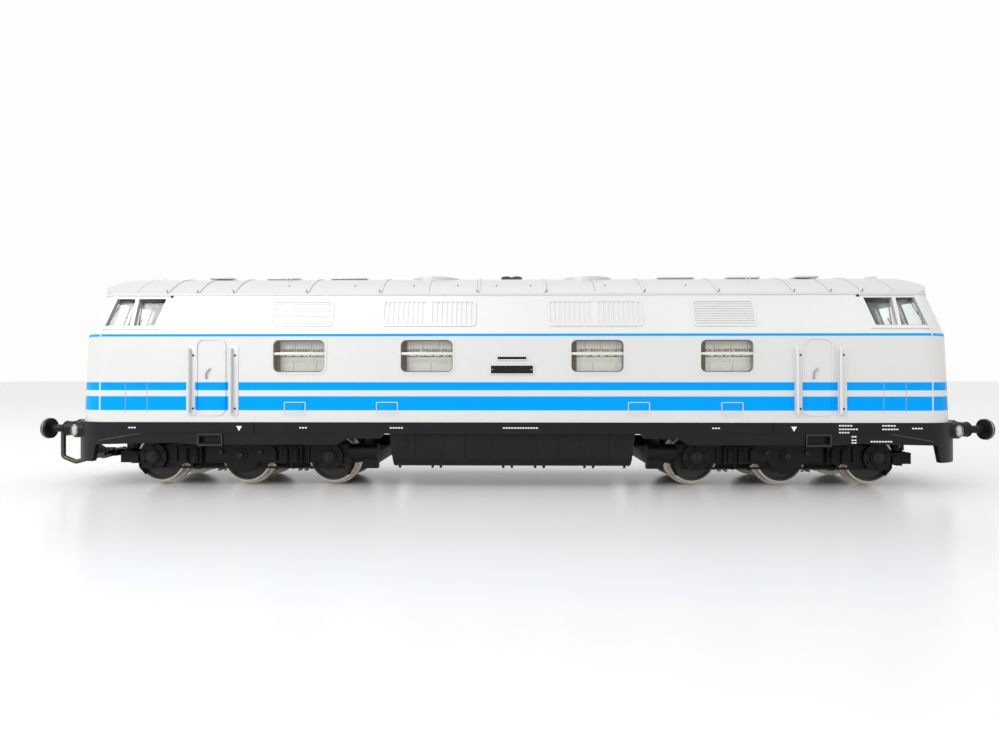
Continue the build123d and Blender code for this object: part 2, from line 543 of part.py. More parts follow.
def chassis_block():
    """The die-cast block: plate over the bogies and weight round the motor."""
    plate = block(-PLATE_LENGTH / 2, PLATE_LENGTH / 2, -PLATE_WIDTH / 2, PLATE_WIDTH / 2, PLATE_LOW, PLATE_TOP)
    plate = fillet(plate.edges().filter_by(Axis.Z), 6.0)
    half = BLOCK_LENGTH / 2
    tank_half = TANK_LENGTH / 2 - TANK_SLANT - TANK_WALL - 0.2
    shape = plate + block(-half, half, -BLOCK_WIDTH / 2, BLOCK_WIDTH / 2, PLATE_LOW, BLOCK_TOP)
    shape += block(-tank_half, tank_half, -BLOCK_WIDTH / 2, BLOCK_WIDTH / 2, BLOCK_LOW, PLATE_LOW)
    motor_low = WORM_Z - MOTOR_HEIGHT / 2
    shape -= block(-WELL_LENGTH / 2, WELL_LENGTH / 2, -WELL_WIDTH / 2, WELL_WIDTH / 2, motor_low, BLOCK_TOP + 1)
    shape -= block(-half - 1, half + 1, -4.0, 4.0, PLATE_TOP, BLOCK_TOP + 1)
    for end in (-1, 1):
        shape -= rod_z(PIVOT_R + SWIVEL_GAP, end * BOGIE_X, 0, PLATE_LOW - 1, PLATE_TOP + 1)
        shape -= rod_z(SCREW_R, end * SCREW_X, 0, PLATE_LOW - 1, PLATE_TOP + 1)
    for part in four_corners(rod_z(POST_R, half - 4.0, BLOCK_WIDTH / 2 - 3.2, BLOCK_TOP - 0.5, BOARD_Z)):
        shape += part
    return shape


def motor_can():
    """The motor's flat-sided can with a bearing boss at each end."""
    can = Pos(0, 0, WORM_Z) * Box(MOTOR_LENGTH, MOTOR_WIDTH, MOTOR_HEIGHT)
    can = fillet(can.edges().filter_by(Axis.X), 3.5)
    for end in (-1, 1):
        can += rod_x(2.6, end * MOTOR_LENGTH / 2, end * (MOTOR_LENGTH / 2 + 1.2), 0, WORM_Z)
    return can - rod_x(SHAFT_R + RUNNING_GAP, -MOTOR_LENGTH, MOTOR_LENGTH, 0, WORM_Z)


def armature_shaft():
    """The motor's through shaft."""
    reach = FLYWHEEL_X + FLYWHEEL_LENGTH / 2
    return rod_x(SHAFT_R, -reach, reach, 0, WORM_Z)


def flywheels():
    """Two brass flywheels pressed on the shaft, one each side of the motor."""
    wheels = []
    for end in (-1, 1):
        low, high = FLYWHEEL_X - FLYWHEEL_LENGTH / 2, FLYWHEEL_X + FLYWHEEL_LENGTH / 2
        wheel = rod_x(FLYWHEEL_R, end * low, end * high, 0, WORM_Z)
        wheel += rod_x(3.4, end * high, end * (high + 3.0), 0, WORM_Z)
        wheel -= rod_x(2.2, end * (high + 0.4), end * (high + 4.0), 0, WORM_Z)
        wheel -= rod_x(SHAFT_R, end * (low - 1), end * high, 0, WORM_Z)
        wheels.append(wheel)
    return group(wheels)


def cardan_shafts():
    """The drive shafts between the flywheels and the worm forks."""
    shafts = []
    inner = FLYWHEEL_X + FLYWHEEL_LENGTH / 2 + 0.4
    outer = BOGIE_X - BALL_X
    for end in (-1, 1):
        shaft = rod_x(SHAFT_R, end * inner, end * outer, 0, WORM_Z)
        shaft += rod_x(2.2, end * inner, end * (inner + 2.2), 0, WORM_Z)
        shaft += Pos(end * outer, 0, WORM_Z) * Sphere(BALL_R)
        shaft += rod_z(CARDAN_PIN_R, end * outer, 0, WORM_Z - CARDAN_PIN, WORM_Z + CARDAN_PIN)
        shafts.append(shaft)
    return group(shafts)


def circuit_board():
    """The board over the motor, on four posts of the block."""
    board = Pos(0, 0, BOARD_Z) * Box(BOARD_LENGTH, BOARD_WIDTH, BOARD_THICK, align=MIN3)
    for x in (-BOARD_LENGTH / 2 + 6, BOARD_LENGTH / 2 - 6):
        board -= rod_z(0.8, x, 0, BOARD_Z - 1, BOARD_Z + BOARD_THICK + 1)
    return board


def board_components():
    """Chokes, capacitors and end lamps soldered on the board."""
    top = BOARD_Z + BOARD_THICK
    parts = []
    for x in (-24.0, -12.0, 12.0, 24.0):
        parts.append(rod_x(1.3, x - 3.5, x + 3.5, -5.0, top + 1.3))
    for x in (-6.0, 6.0):
        parts.append(rod_z(2.2, x, 4.0, top, top + 4.0))
    for x in (-18.0, 18.0):
        parts.append(block(x - 4, x + 4, 2.5, 7.5, top, top + 1.6))
    for end in (-1, 1):
        x = end * (BOARD_LENGTH / 2 - 2.0)
        parts.append(block(x - 1.2, x + 1.2, -1.2, 1.2, top, top + 2.6))
    return group(parts)


def body_screws():
    """The two screws that hold the chassis to the cab floors."""
    screws = []
    for end in (-1, 1):
        screw = rod_z(SCREW_R, end * SCREW_X, 0, PLATE_LOW - 0.1, PLATE_TOP + 3)
        head = rod_z(SCREW_HEAD_R, end * SCREW_X, 0, PLATE_LOW - 1.6, PLATE_LOW)
        slot = block(end * SCREW_X - 3, end * SCREW_X + 3, -0.3, 0.3, PLATE_LOW - 2, PLATE_LOW - 1.0)
        screws.append(screw + head - slot)
    return group(screws)


# --------------------------------------------------------------------- gears

def spur_gear(teeth, tooth_angle, bore_r):
    """A gear in the X-Z plane about Y, with a tooth centred at tooth_angle."""
    pitch_r = MODULE * teeth / 2
    root, tip = pitch_r - DEDENDUM, pitch_r + ADDENDUM
    points = []
    for n in range(teeth):
        middle = math.radians(tooth_angle) + n * 2 * math.pi / teeth
        for radius, half in ((root, -TOOTH_ROOT), (tip, -TOOTH_TIP), (tip, TOOTH_TIP), (root, TOOTH_ROOT)):
            angle = middle + half / 2 / radius
            points.append((radius * math.cos(angle), radius * math.sin(angle)))
    face = Plane.XZ * (Polygon(*points, align=None) - Circle(bore_r))
    return extrude(face, GEAR_WIDTH / 2, both=True)


def meshing_angle(angle, teeth, mate_teeth, direction):
    """Tooth angle of a mate that lies in the given direction from a gear."""
    return direction + 180 - (angle - direction) * teeth / mate_teeth + 180 / mate_teeth


def gear_train():
    """Tooth angles of the idlers and the axle gears, from the worm wheel's."""
    angles = {"worm_wheel": 90.0}
    for name, side in (("left", -1), ("right", 1)):
        to_idler = math.degrees(math.atan2(IDLER_Z - WHEEL_GEAR_Z, side * IDLER_U))
        idler = meshing_angle(angles["worm_wheel"], WHEEL_TEETH, IDLER_TEETH, to_idler)
        to_axle = math.degrees(math.atan2(AXLE_Z - IDLER_Z, side * (AXLE_PITCH - IDLER_U)))
        angles["idler_" + name] = idler
        angles["axle_" + name] = meshing_angle(idler, IDLER_TEETH, AXLE_TEETH, to_axle)
    return angles


def worm(end):
    """A single-start right-hand worm, its shaft and its fork towards the motor."""
    path = Helix(WORM_LEAD, WORM_LENGTH, WORM_ROOT_R - 0.1)
    depth = WORM_OUTER_R - WORM_ROOT_R + 0.1
    profile = Plane(origin=path @ 0, x_dir=(1, 0, 0), z_dir=path % 0) * Polygon(
        (0, -0.35), (depth, -0.18), (depth, 0.18), (0, 0.35), align=None
    )
    thread = sweep(profile, path=path, is_frenet=True)
    body = Cylinder(WORM_ROOT_R, WORM_LENGTH + 1.2) + Pos(0, 0, -WORM_LENGTH / 2) * thread
    body = Rot(0, 90, 0) * body
    inward = -end
    body += rod_x(SHAFT_R, -7.6, 7.6, 0, 0)
    body += rod_x(SHAFT_R, 0, inward * CUP_START, 0, 0)
    fork = rod_x(CUP_R, inward * CUP_START, inward * CUP_END, 0, 0)
    fork -= rod_x(CUP_BORE_R, inward * (CUP_START + 0.4), inward * (CUP_END + 1), 0, 0)
    fork -= block(inward * (CUP_START + 0.4), inward * (CUP_END + 1), -FORK_SLOT / 2, FORK_SLOT / 2, -CUP_R, CUP_R)
    return Pos(end * BOGIE_X, 0, WORM_Z) * (body + fork)


# -------------------------------------------------------------------- bogies

def bogie_casting(end):
    """The bogie's middle: two cheeks for the gears, the collar and worm cradle."""
    half = CASTING_HALF
    outline = [(-half, CASTING_LOW), (half, CASTING_LOW), (half, 11.0), (17.5, 15.2), (-17.5, 15.2), (-half, 11.0)]
    cheeks = side_profile(outline, CHEEK_INNER, CHEEK_OUTER)
    cheeks = cheeks + mirror(cheeks, Plane.XZ)
    for side in (-1, 1):
        cheeks += block(side * (half - 1.0), side * half, -CHEEK_INNER, CHEEK_INNER, CASTING_LOW, 11.0)
    collar = rod_z(PIVOT_R, 0, 0, 14.9, PLATE_TOP + 0.4)
    collar += rod_z(PIVOT_R + 2.2, 0, 0, 14.9, PLATE_LOW - SWIVEL_GAP)
    body = cheeks + collar
    tower = block(-7.0, 7.0, -CHEEK_OUTER, CHEEK_OUTER, PLATE_TOP - 1, WORM_Z + 1.2)
    body += tower
    body -= block(-19.0, 19.0, -CHEEK_INNER, CHEEK_INNER, 0, IDLER_Z + IDLER_R + ADDENDUM + 0.3)
    body -= rod_y(WHEEL_GEAR_R + ADDENDUM + 0.3, 0, -CHEEK_INNER, CHEEK_INNER, WHEEL_GEAR_Z)
    well = WORM_LENGTH / 2 + 0.9
    body -= block(-well, well, -WORM_OUTER_R - 0.3, WORM_OUTER_R + 0.3, WHEEL_GEAR_Z + WHEEL_GEAR_R - 1.4, WORM_Z + 3)
    body -= rod_x(SHAFT_R + RUNNING_GAP, -12, 12, 0, WORM_Z)
    for u in (-AXLE_PITCH, 0, AXLE_PITCH):
        body -= rod_y(AXLE_R + RUNNING_GAP, u, -CHEEK_OUTER - 1, CHEEK_OUTER + 1, AXLE_Z)
        body -= block(u - AXLE_R - RUNNING_GAP, u + AXLE_R + RUNNING_GAP, -CHEEK_OUTER - 1, CHEEK_OUTER + 1, 0, AXLE_Z)
    for u, z in ((-IDLER_U, IDLER_Z), (IDLER_U, IDLER_Z), (0, WHEEL_GEAR_Z)):
        body -= rod_y(PIN_R, u, -CHEEK_OUTER - 1, CHEEK_OUTER + 1, z)
    for side in (-1, 1):
        body -= block(side * (AXLE_PITCH - 5.4), side * (AXLE_PITCH + 5.2), -CHEEK_INNER, CHEEK_INNER, 0, 12.2)
    return Pos(end * BOGIE_X, 0, 0) * body


def gear_pins(end):
    """The three steel pins that the intermediate gears turn on."""
    pins = [rod_y(PIN_R, u, -CHEEK_OUTER, CHEEK_OUTER, z)
            for u, z in ((-IDLER_U, IDLER_Z), (IDLER_U, IDLER_Z), (0, WHEEL_GEAR_Z))]
    return group([Pos(end * BOGIE_X, 0, 0) * pin for pin in pins])


def bogie_keeper(end):
    """The plate under the axles that keeps the wheelsets in the casting."""
    low, high = KEEPER_LOW, KEEPER_LOW + KEEPER_THICK
    plate = block(-CASTING_HALF, CASTING_HALF, -CHEEK_OUTER - 1.2, CHEEK_OUTER + 1.2, low, high)
    for u in (-AXLE_PITCH, AXLE_PITCH):
        plate -= block(u - 5.4, u + 5.4, -CHEEK_INNER, CHEEK_INNER, low - 1, high + 1)
    for u in (-IDLER_U, IDLER_U):
        plate -= block(u - 6.6, u + 6.6, -CHEEK_INNER, CHEEK_INNER, low - 1, high + 1)
    plate -= block(-6.0, 6.0, -CHEEK_INNER, CHEEK_INNER, low - 1, high + 1)
    plate += block(-1.4, 1.4, -CHEEK_OUTER, CHEEK_OUTER, low, high)
    for side in (-1, 1):
        plate += block(side * (CASTING_HALF - 1.0), side * CASTING_HALF, -CHEEK_OUTER, CHEEK_OUTER, high, CASTING_LOW)
    return Pos(end * BOGIE_X, 0, 0) * plate


def side_frames(end):
    """The black side-frame moulding round one bogie, detailed on both sides."""
    out, inn = end * SIDE_END_OUT, -end * SIDE_END_IN
    rail = [(out, SIDE_TOP - 2.4), (end * 17, SIDE_TOP), (inn, SIDE_TOP), (inn, SIDE_LOW + 1.6),
            (end * -27, SIDE_LOW + 0.6), (out, SIDE_LOW + 0.4)]
    side = side_profile(rail, -SIDE_INNER, -SIDE_OUTER + 1.0)
    for u in (-AXLE_PITCH, AXLE_PITCH):
        side += rod_y(3.1, u, -SIDE_INNER - 0.2, -SIDE_OUTER + 0.2, AXLE_Z + 0.6)
        side += rod_y(1.7, u, -SIDE_INNER - 0.2, -SIDE_OUTER - 0.1, AXLE_Z + 0.6)
    hump = [(-8.2, 8.6), (-4.6, 12.0), (4.6, 12.0), (8.2, 8.6), (8.2, 6.2), (-8.2, 6.2)]
    side += side_profile(hump, -SIDE_INNER, -SIDE_OUTER + 0.2)
    side += rod_y(4.3, 0, -SIDE_INNER, -SIDE_OUTER + 0.5, AXLE_Z + 1.0)
    side += rod_y(1.5, 0, -SIDE_INNER, -SIDE_OUTER - 0.1, AXLE_Z + 1.0)
    for u in (-AXLE_PITCH / 2 - 1.4, AXLE_PITCH / 2 + 1.4):
        side += block(u - 2.6, u + 2.6, -SIDE_INNER, -SIDE_OUTER, SIDE_LOW + 0.6, SIDE_TOP - 0.4)
        for step in (-1.2, 1.2):
            side += rod_z(0.75, u + step, -SIDE_OUTER, SIDE_LOW + 0.8, SIDE_TOP - 0.9)
        side += rod_z(0.4, u, -SIDE_OUTER + 0.7, SIDE_LOW - 0.4, SIDE_LOW + 1.0)
    for u in (-AXLE_PITCH - 4.4, AXLE_PITCH + 4.4):
        side += block(u - 0.8, u + 0.8, -SIDE_INNER, -SIDE_OUTER + 0.3, SIDE_LOW + 0.8, SIDE_TOP - 2.6)
    cylinder_z = SIDE_TOP - 1.7
    side += rod_x(1.6, -end * (SIDE_END_IN - 6.6), inn, -SIDE_OUTER + 0.5, cylinder_z)
    side += block(-end * (SIDE_END_IN - 3.6), inn, -SIDE_INNER, -SIDE_OUTER + 0.4, SIDE_LOW - 0.6, SIDE_LOW + 2.6)
    both = side + mirror(side, Plane.XZ)
    bar_low, bar_high = KEEPER_LOW + KEEPER_THICK + 0.6, KEEPER_LOW + KEEPER_THICK + 3.2
    both += block(end * BAR_OUT, end * (BAR_OUT + 1.6), -SIDE_INNER - 0.5, SIDE_INNER + 0.5, bar_low, bar_high)
    for y in (-SIDE_INNER, SIDE_INNER):
        both += block(end * (SIDE_END_OUT - 1.0), end * BAR_OUT, y - 0.5, y + 0.5, bar_low, bar_high)
    both += block(inn, inn + end * 1.8, -SIDE_INNER, SIDE_INNER, bar_low, bar_high)
    both += block(inn, -end * CASTING_HALF, -3.4, 3.4, bar_low, bar_high)
    return Pos(end * BOGIE_X, 0, 0) * both


def pickups(end):
    """Springy bronze strips that wipe the backs of the outer wheels."""
    strips = []
    for side in (-1, 1):
        y0, y1 = side * (CHEEK_OUTER + 0.0), side * (CHEEK_OUTER + 0.3)
        strip = block(-CASTING_HALF + 1, CASTING_HALF - 1, y0, y1, 8.8, 10.6)
        for u in (-AXLE_PITCH, AXLE_PITCH):
            strip += block(u - 1.0, u + 1.0, y1, side * (BACK_TO_BACK / 2 - 0.15), 9.4, 9.8)
        strips.append(Pos(end * BOGIE_X, 0, 0) * strip)
    return group(strips)


def axle(end, place):
    """A plain axle with pointed ends."""
    x = end * BOGIE_X + place * AXLE_PITCH
    bar = rod_y(AXLE_R, x, -AXLE_REACH + 1, AXLE_REACH - 1, AXLE_Z)
    for side in (-1, 1):
        tip = Cone(AXLE_R, 0.25, 1.0) if side > 0 else Cone(0.25, AXLE_R, 1.0)
        bar += Pos(x, side * (AXLE_REACH - 0.5), AXLE_Z) * Rot(-90, 0, 0) * tip
    return bar


def wheels(end, place):
    """The pair of flanged wheels on one axle, with a dished outer face."""
    x = end * BOGIE_X + place * AXLE_PITCH
    back = BACK_TO_BACK / 2
    tread = rod_y(TREAD_R, x, back, back + WHEEL_WIDTH, AXLE_Z)
    flange = rod_y(FLANGE_R, x, back, back + FLANGE, AXLE_Z)
    wheel = tread + flange
    face = back + WHEEL_WIDTH
    dish = rod_y(TREAD_R - 0.9, x, face - 0.5, face + 1, AXLE_Z) - rod_y(2.0, x, face - 1, face + 2, AXLE_Z)
    wheel = wheel - dish - rod_y(AXLE_R, x, back - 1, face + 1, AXLE_Z)
    return group(both_sides(wheel))


# ------------------------------------------------------------------- coupler

def coupler_shank():
    """The coupler's flat arm with its hook, on a pin under the frame's end."""
    pivot = -COUPLER_PIVOT_X
    low, high = COUPLER_Z, COUPLER_Z + COUPLER_THICK
    eye = rod_z(2.4, pivot, 0, low, high)
    arm = block(pivot, -HOOK_X + 1.4, -1.5, 1.5, low, high)
    hook = side_profile([(-HOOK_X + 3.0, low), (-HOOK_X, low + 0.2), (-HOOK_X - 0.2, 10.0), (-HOOK_X + 1.0, 10.4),
                         (-HOOK_X + 1.3, 8.6), (-HOOK_X + 3.0, high)], -1.1, 1.1)
    shank = eye + arm + hook
    shank -= rod_z(COUPLER_PIN_R + RUNNING_GAP, pivot, 0, low - 1, high + 1)
    lug = block(-HOOP_HINGE_X - 1.3, -HOOP_HINGE_X + 1.3, -2.9, 2.9, low, high)
    shank += lug
    return shank - rod_y(HOOP_WIRE + RUNNING_GAP, -HOOP_HINGE_X, -5, 5, low + COUPLER_THICK / 2)


def coupler_hoop():
    """The wire hoop hinged across the shank, standing in front of the hook."""
    hinge_z = COUPLER_Z + COUPLER_THICK / 2
    half = HOOP_WIDTH / 2
    route = [(-HOOP_HINGE_X, -half, hinge_z), (-HOOP_X + 3.2, -half, HOOP_LOW + 0.3), (-HOOP_X, -half, HOOP_LOW + 1.6),
             (-HOOP_X, -half, HOOP_TOP), (-HOOP_X, half, HOOP_TOP), (-HOOP_X, half, HOOP_LOW + 1.6),
             (-HOOP_X + 3.2, half, HOOP_LOW + 0.3), (-HOOP_HINGE_X, half, hinge_z)]
    closed = FilletPolyline(*route, radius=1.0)
    start = Plane(origin=closed @ 0, z_dir=closed % 0)
    wire = sweep(start * Circle(HOOP_WIRE), path=closed)
    return wire + rod_y(HOOP_WIRE, -HOOP_HINGE_X, -half - HOOP_WIRE * 0.2, half + HOOP_WIRE * 0.2, hinge_z)


# --------------------------------------------------------------------- build

save(body_shell(), "body_shell")
save(machine_room_windows(), "machine_room_windows")
save(machine_room_inserts(), "machine_room_inserts")
save(exhaust_stack(), "exhaust_stack")
save(group([roof_fan_grille(-FAN_X), roof_fan_grille(FAN_X)]), "roof_fan_grilles")
save(group([part for plate in number_plate() for part in both_sides(plate)]), "number_plates")
save(door_handrails(), "door_handrails")
save(lamp_lenses(), "lamp_lenses")
save(underframe(), "underframe")
save(buffers(), "buffers")
save(fuel_tank(), "fuel_tank")
save(chassis_block(), "chassis_block")
save(motor_can(), "motor_can")
save(armature_shaft(), "armature_shaft")
save(flywheels(), "flywheels")
save(cardan_shafts(), "cardan_shafts")
save(circuit_board(), "circuit_board")
save(board_components(), "board_components")
save(body_screws(), "body_screws")
save(coupler_shank(), "coupler_shank")
save(coupler_hoop(), "coupler_hoop")

tooth = gear_train()
for bogie, sign in (("front", -1), ("rear", 1)):
    at = Pos(sign * BOGIE_X, 0, 0)
    save(cab_glazing(sign), f"{bogie}_cab_glazing")
    save(cab_interior(sign), f"{bogie}_cab_interior")
    save(bogie_casting(sign), f"{bogie}_bogie_casting")
    save(gear_pins(sign), f"{bogie}_gear_pins")
    save(bogie_keeper(sign), f"{bogie}_bogie_keeper")
    save(side_frames(sign), f"{bogie}_side_frames")
    save(pickups(sign), f"{bogie}_pickups")
    save(worm(sign), f"{bogie}_worm")
    wheel_gear = spur_gear(WHEEL_TEETH, tooth["worm_wheel"], PIN_R + RUNNING_GAP)
    save(at * Pos(0, 0, WHEEL_GEAR_Z) * wheel_gear, f"{bogie}_worm_wheel")
    for turn, outward in (("left", -1), ("right", 1)):
        name = "outer" if outward == sign else "inner"
        idler = spur_gear(IDLER_TEETH, tooth["idler_" + turn], PIN_R + RUNNING_GAP)
        save(at * Pos(outward * IDLER_U, 0, IDLER_Z) * idler, f"{bogie}_{name}_idler")
        gear = spur_gear(AXLE_TEETH, tooth["axle_" + turn], AXLE_R)
        save(at * Pos(outward * AXLE_PITCH, 0, AXLE_Z) * gear, f"{bogie}_{name}_axle_gear")
        save(axle(sign, outward), f"{bogie}_{name}_axle")
        save(wheels(sign, outward), f"{bogie}_{name}_wheels")
    save(axle(sign, 0), f"{bogie}_middle_axle")
    save(wheels(sign, 0), f"{bogie}_middle_wheels")
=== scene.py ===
"""Looks of a model diesel locomotive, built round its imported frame."""

import logging
import math
from dataclasses import dataclass, field
from enum import Enum
from typing import Any, Callable, Iterable, Sequence, Union

import bpy
from mathutils import Matrix, Vector


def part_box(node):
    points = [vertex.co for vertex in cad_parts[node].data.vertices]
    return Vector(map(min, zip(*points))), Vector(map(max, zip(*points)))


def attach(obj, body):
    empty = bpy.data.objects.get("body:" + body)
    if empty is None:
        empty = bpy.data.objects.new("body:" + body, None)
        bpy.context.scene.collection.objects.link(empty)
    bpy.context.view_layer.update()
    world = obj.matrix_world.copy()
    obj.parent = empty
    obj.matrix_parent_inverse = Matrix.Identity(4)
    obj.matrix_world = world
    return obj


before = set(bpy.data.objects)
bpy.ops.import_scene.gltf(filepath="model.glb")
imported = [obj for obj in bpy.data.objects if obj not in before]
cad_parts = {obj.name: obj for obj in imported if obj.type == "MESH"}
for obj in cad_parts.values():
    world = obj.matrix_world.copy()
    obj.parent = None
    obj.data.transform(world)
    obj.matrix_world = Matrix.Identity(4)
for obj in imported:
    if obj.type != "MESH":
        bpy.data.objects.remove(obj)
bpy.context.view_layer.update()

MM = 0.001
LOG = logging.getLogger("locomotive")

Colour = tuple[float, float, float]
Number = Union[float, "Signal"]
Point = tuple[float, float, float]


class End(Enum):
    """The two ends of the locomotive, by the sign of X."""

    FRONT = -1
    REAR = 1

    @property
    def label(self) -> str:
        """The end's name as the nodes use it."""
        return self.name.lower()


class Axis(Enum):
    """Directions that a round primitive can stand along."""

    X = (0.0, math.pi / 2, 0.0)
    Y = (math.pi / 2, 0.0, 0.0)
    Z = (0.0, 0.0, 0.0)


# ------------------------------------------------------------ shader toolkit

class Signal:
    """One shader socket that takes part in arithmetic."""

    def __init__(self, net: "Net", socket: bpy.types.NodeSocket) -> None:
        """Wrap a socket of a net."""
        self.net = net
        self.socket = socket

    def _math(self, operation: str, *values: Number) -> "Signal":
        """Add a Math node.

        Args:
            operation: The Math node's operation.
            values: The numbers or signals of its sockets, in order.

        Returns:
            The node's value.
        """
        sockets = {place: value for place, value in enumerate(values)}
        return self.net.node("ShaderNodeMath", {"operation": operation}, sockets)

    def __add__(self, other: Number) -> "Signal":
        """Sum."""
        return self._math("ADD", self, other)

    __radd__ = __add__

    def __sub__(self, other: Number) -> "Signal":
        """Difference."""
        return self._math("SUBTRACT", self, other)

    def __rsub__(self, other: Number) -> "Signal":
        """Reflected difference."""
        return self._math("SUBTRACT", other, self)

    def __mul__(self, other: Number) -> "Signal":
        """Product."""
        return self._math("MULTIPLY", self, other)

    __rmul__ = __mul__

    def __truediv__(self, other: Number) -> "Signal":
        """Quotient."""
        return self._math("DIVIDE", self, other)

    def __rtruediv__(self, other: Number) -> "Signal":
        """Reflected quotient."""
        return self._math("DIVIDE", other, self)

    def __pow__(self, power: Number) -> "Signal":
        """Power."""
        return self._math("POWER", self, power)

    def __abs__(self) -> "Signal":
        """Absolute value."""
        return self._math("ABSOLUTE", self)

    def __mod__(self, period: Number) -> "Signal":
        """Remainder that stays positive."""
        return self._math("FLOORED_MODULO", self, period)

    def lower(self, other: Number) -> "Signal":
        """The lesser of two values."""
        return self._math("MINIMUM", self, other)

    def higher(self, other: Number) -> "Signal":
        """The greater of two values."""
        return self._math("MAXIMUM", self, other)

    def rise(self, start: float, end: float) -> "Signal":
        """A smooth step from 0 at start to 1 at end.

        Args:
            start: The value at which the step begins.
            end: The value at which it is complete.

        Returns:
            The step.
        """
        settings = {"interpolation_type": "SMOOTHSTEP"}
        sockets = {"Value": self, "From Min": start, "From Max": end}
        return self.net.node("ShaderNodeMapRange", settings, sockets)

    def band(self, low: float, high: float, edge: float) -> "Signal":
        """1 between low and high, 0 outside, with soft edges."""
        return self.rise(low - edge, low + edge) * (1 - self.rise(high - edge, high + edge))


class Net:
    """The node tree of one material."""

    def __init__(self, name: str) -> None:
        """Start an empty material of this name.

        Args:
            name: The material's name.
        """
        self.material = bpy.data.materials.new(name)
        self.material.use_nodes = True
        self.tree = self.material.node_tree
        self.tree.nodes.clear()

    def node(
        self,
        kind: str,
        settings: dict[str, Any] | None = None,
        sockets: dict[Union[str, int], Any] | None = None,
        output: Union[str, int] = 0,
    ) -> Signal:
        """Add a node.

        Args:
            kind: The node's type.
            settings: Its own settings, which are made first; stops sets a ramp.
            sockets: Values or signals of its input sockets, by name or place.
            output: The output that is returned.

        Returns:
            The chosen output as a signal.
        """
        node = self.tree.nodes.new(kind)
        for name, value in (settings or {}).items():
            if name == "stops":
                self._set_stops(node.color_ramp, value)
            else:
                setattr(node, name, value)
        for name, value in (sockets or {}).items():
            socket = node.inputs[name]
            if isinstance(value, Signal):
                self.tree.links.new(value.socket, socket)
            elif isinstance(value, tuple) and len(value) == 3 and socket.type == "RGBA":
                socket.default_value = (*value, 1.0)
            else:
                socket.default_value = value
        return Signal(self, node.outputs[output])

    @staticmethod
    def _set_stops(ramp: bpy.types.ColorRamp, stops: Sequence[tuple[float, Colour]]) -> None:
        """Set a ramp's stops, each a place and a colour.

        Args:
            ramp: The ramp of a Color Ramp node.
            stops: Each stop's place and colour, in order.
        """
        while len(ramp.elements) < len(stops):
            ramp.elements.new(0.5)
        for element, (place, colour) in zip(ramp.elements, stops):
            element.position = place
            element.color = (*colour, 1.0)

    def place(self) -> Signal:
        """Object coordinates."""
        return self.node("ShaderNodeTexCoord", output="Object")

    def axes(self) -> tuple[Signal, Signal, Signal]:
        """Object X, Y and Z in millimetres.

        Returns:
            The three coordinates as signals.
        """
        split = self.node("ShaderNodeSeparateXYZ", sockets={0: self.place()})
        outputs = split.socket.node.outputs
        x, y, z = (Signal(self, outputs[n]) for n in range(3))
        return x * 1000, y * 1000, z * 1000

    def noise(self, scale: float, detail: float = 3.0, vector: Signal | None = None) -> Signal:
        """Noise with this many features in a metre."""
        sockets = {"Vector": vector or self.place(), "Scale": scale, "Detail": detail}
        return self.node("ShaderNodeTexNoise", sockets=sockets)

    def mix(self, share: Number, first: Any, second: Any, blend: str = "MIX") -> Signal:
        """Mix two colours."""
        settings = {"data_type": "RGBA", "blend_type": blend}
        return self.node("ShaderNodeMix", settings, {0: share, 6: first, 7: second}, 2)

    def bump(self, height: Signal, distance: float, strength: float = 1.0) -> Signal:
        """A normal raised by a height, with distance in metres."""
        sockets = {"Height": height, "Distance": distance, "Strength": strength}
        return self.node("ShaderNodeBump", sockets=sockets)

    def finish(self, **sockets: Any) -> bpy.types.Material:
        """Close the tree with a Principled shader.

        Args:
            sockets: Its values, named as the sockets with underscores for blanks.

        Returns:
            The material.
        """
        values = {name.replace("_", " "): value for name, value in sockets.items()}
        shader = self.node("ShaderNodeBsdfPrincipled", sockets=values)
        self.node_output(shader)
        return self.material

    def node_output(self, shader: Signal) -> None:
        """Connect a shader to the material's output."""
        out = self.tree.nodes.new("ShaderNodeOutputMaterial")
        self.tree.links.new(shader.socket, out.inputs["Surface"])


# ------------------------------------------------------------------ finishes

@dataclass(frozen=True)
class Finish:
    """A finish: its name and how its material is made once and then shared."""

    name: str

    def material(self) -> bpy.types.Material:
        """The finish's material, made on first use."""
        made = bpy.data.materials.get(self.name)
        return made or self.build(Net(self.name))

    def build(self, net: Net) -> bpy.types.Material:
        """Make the material in an empty net."""
        raise NotImplementedError


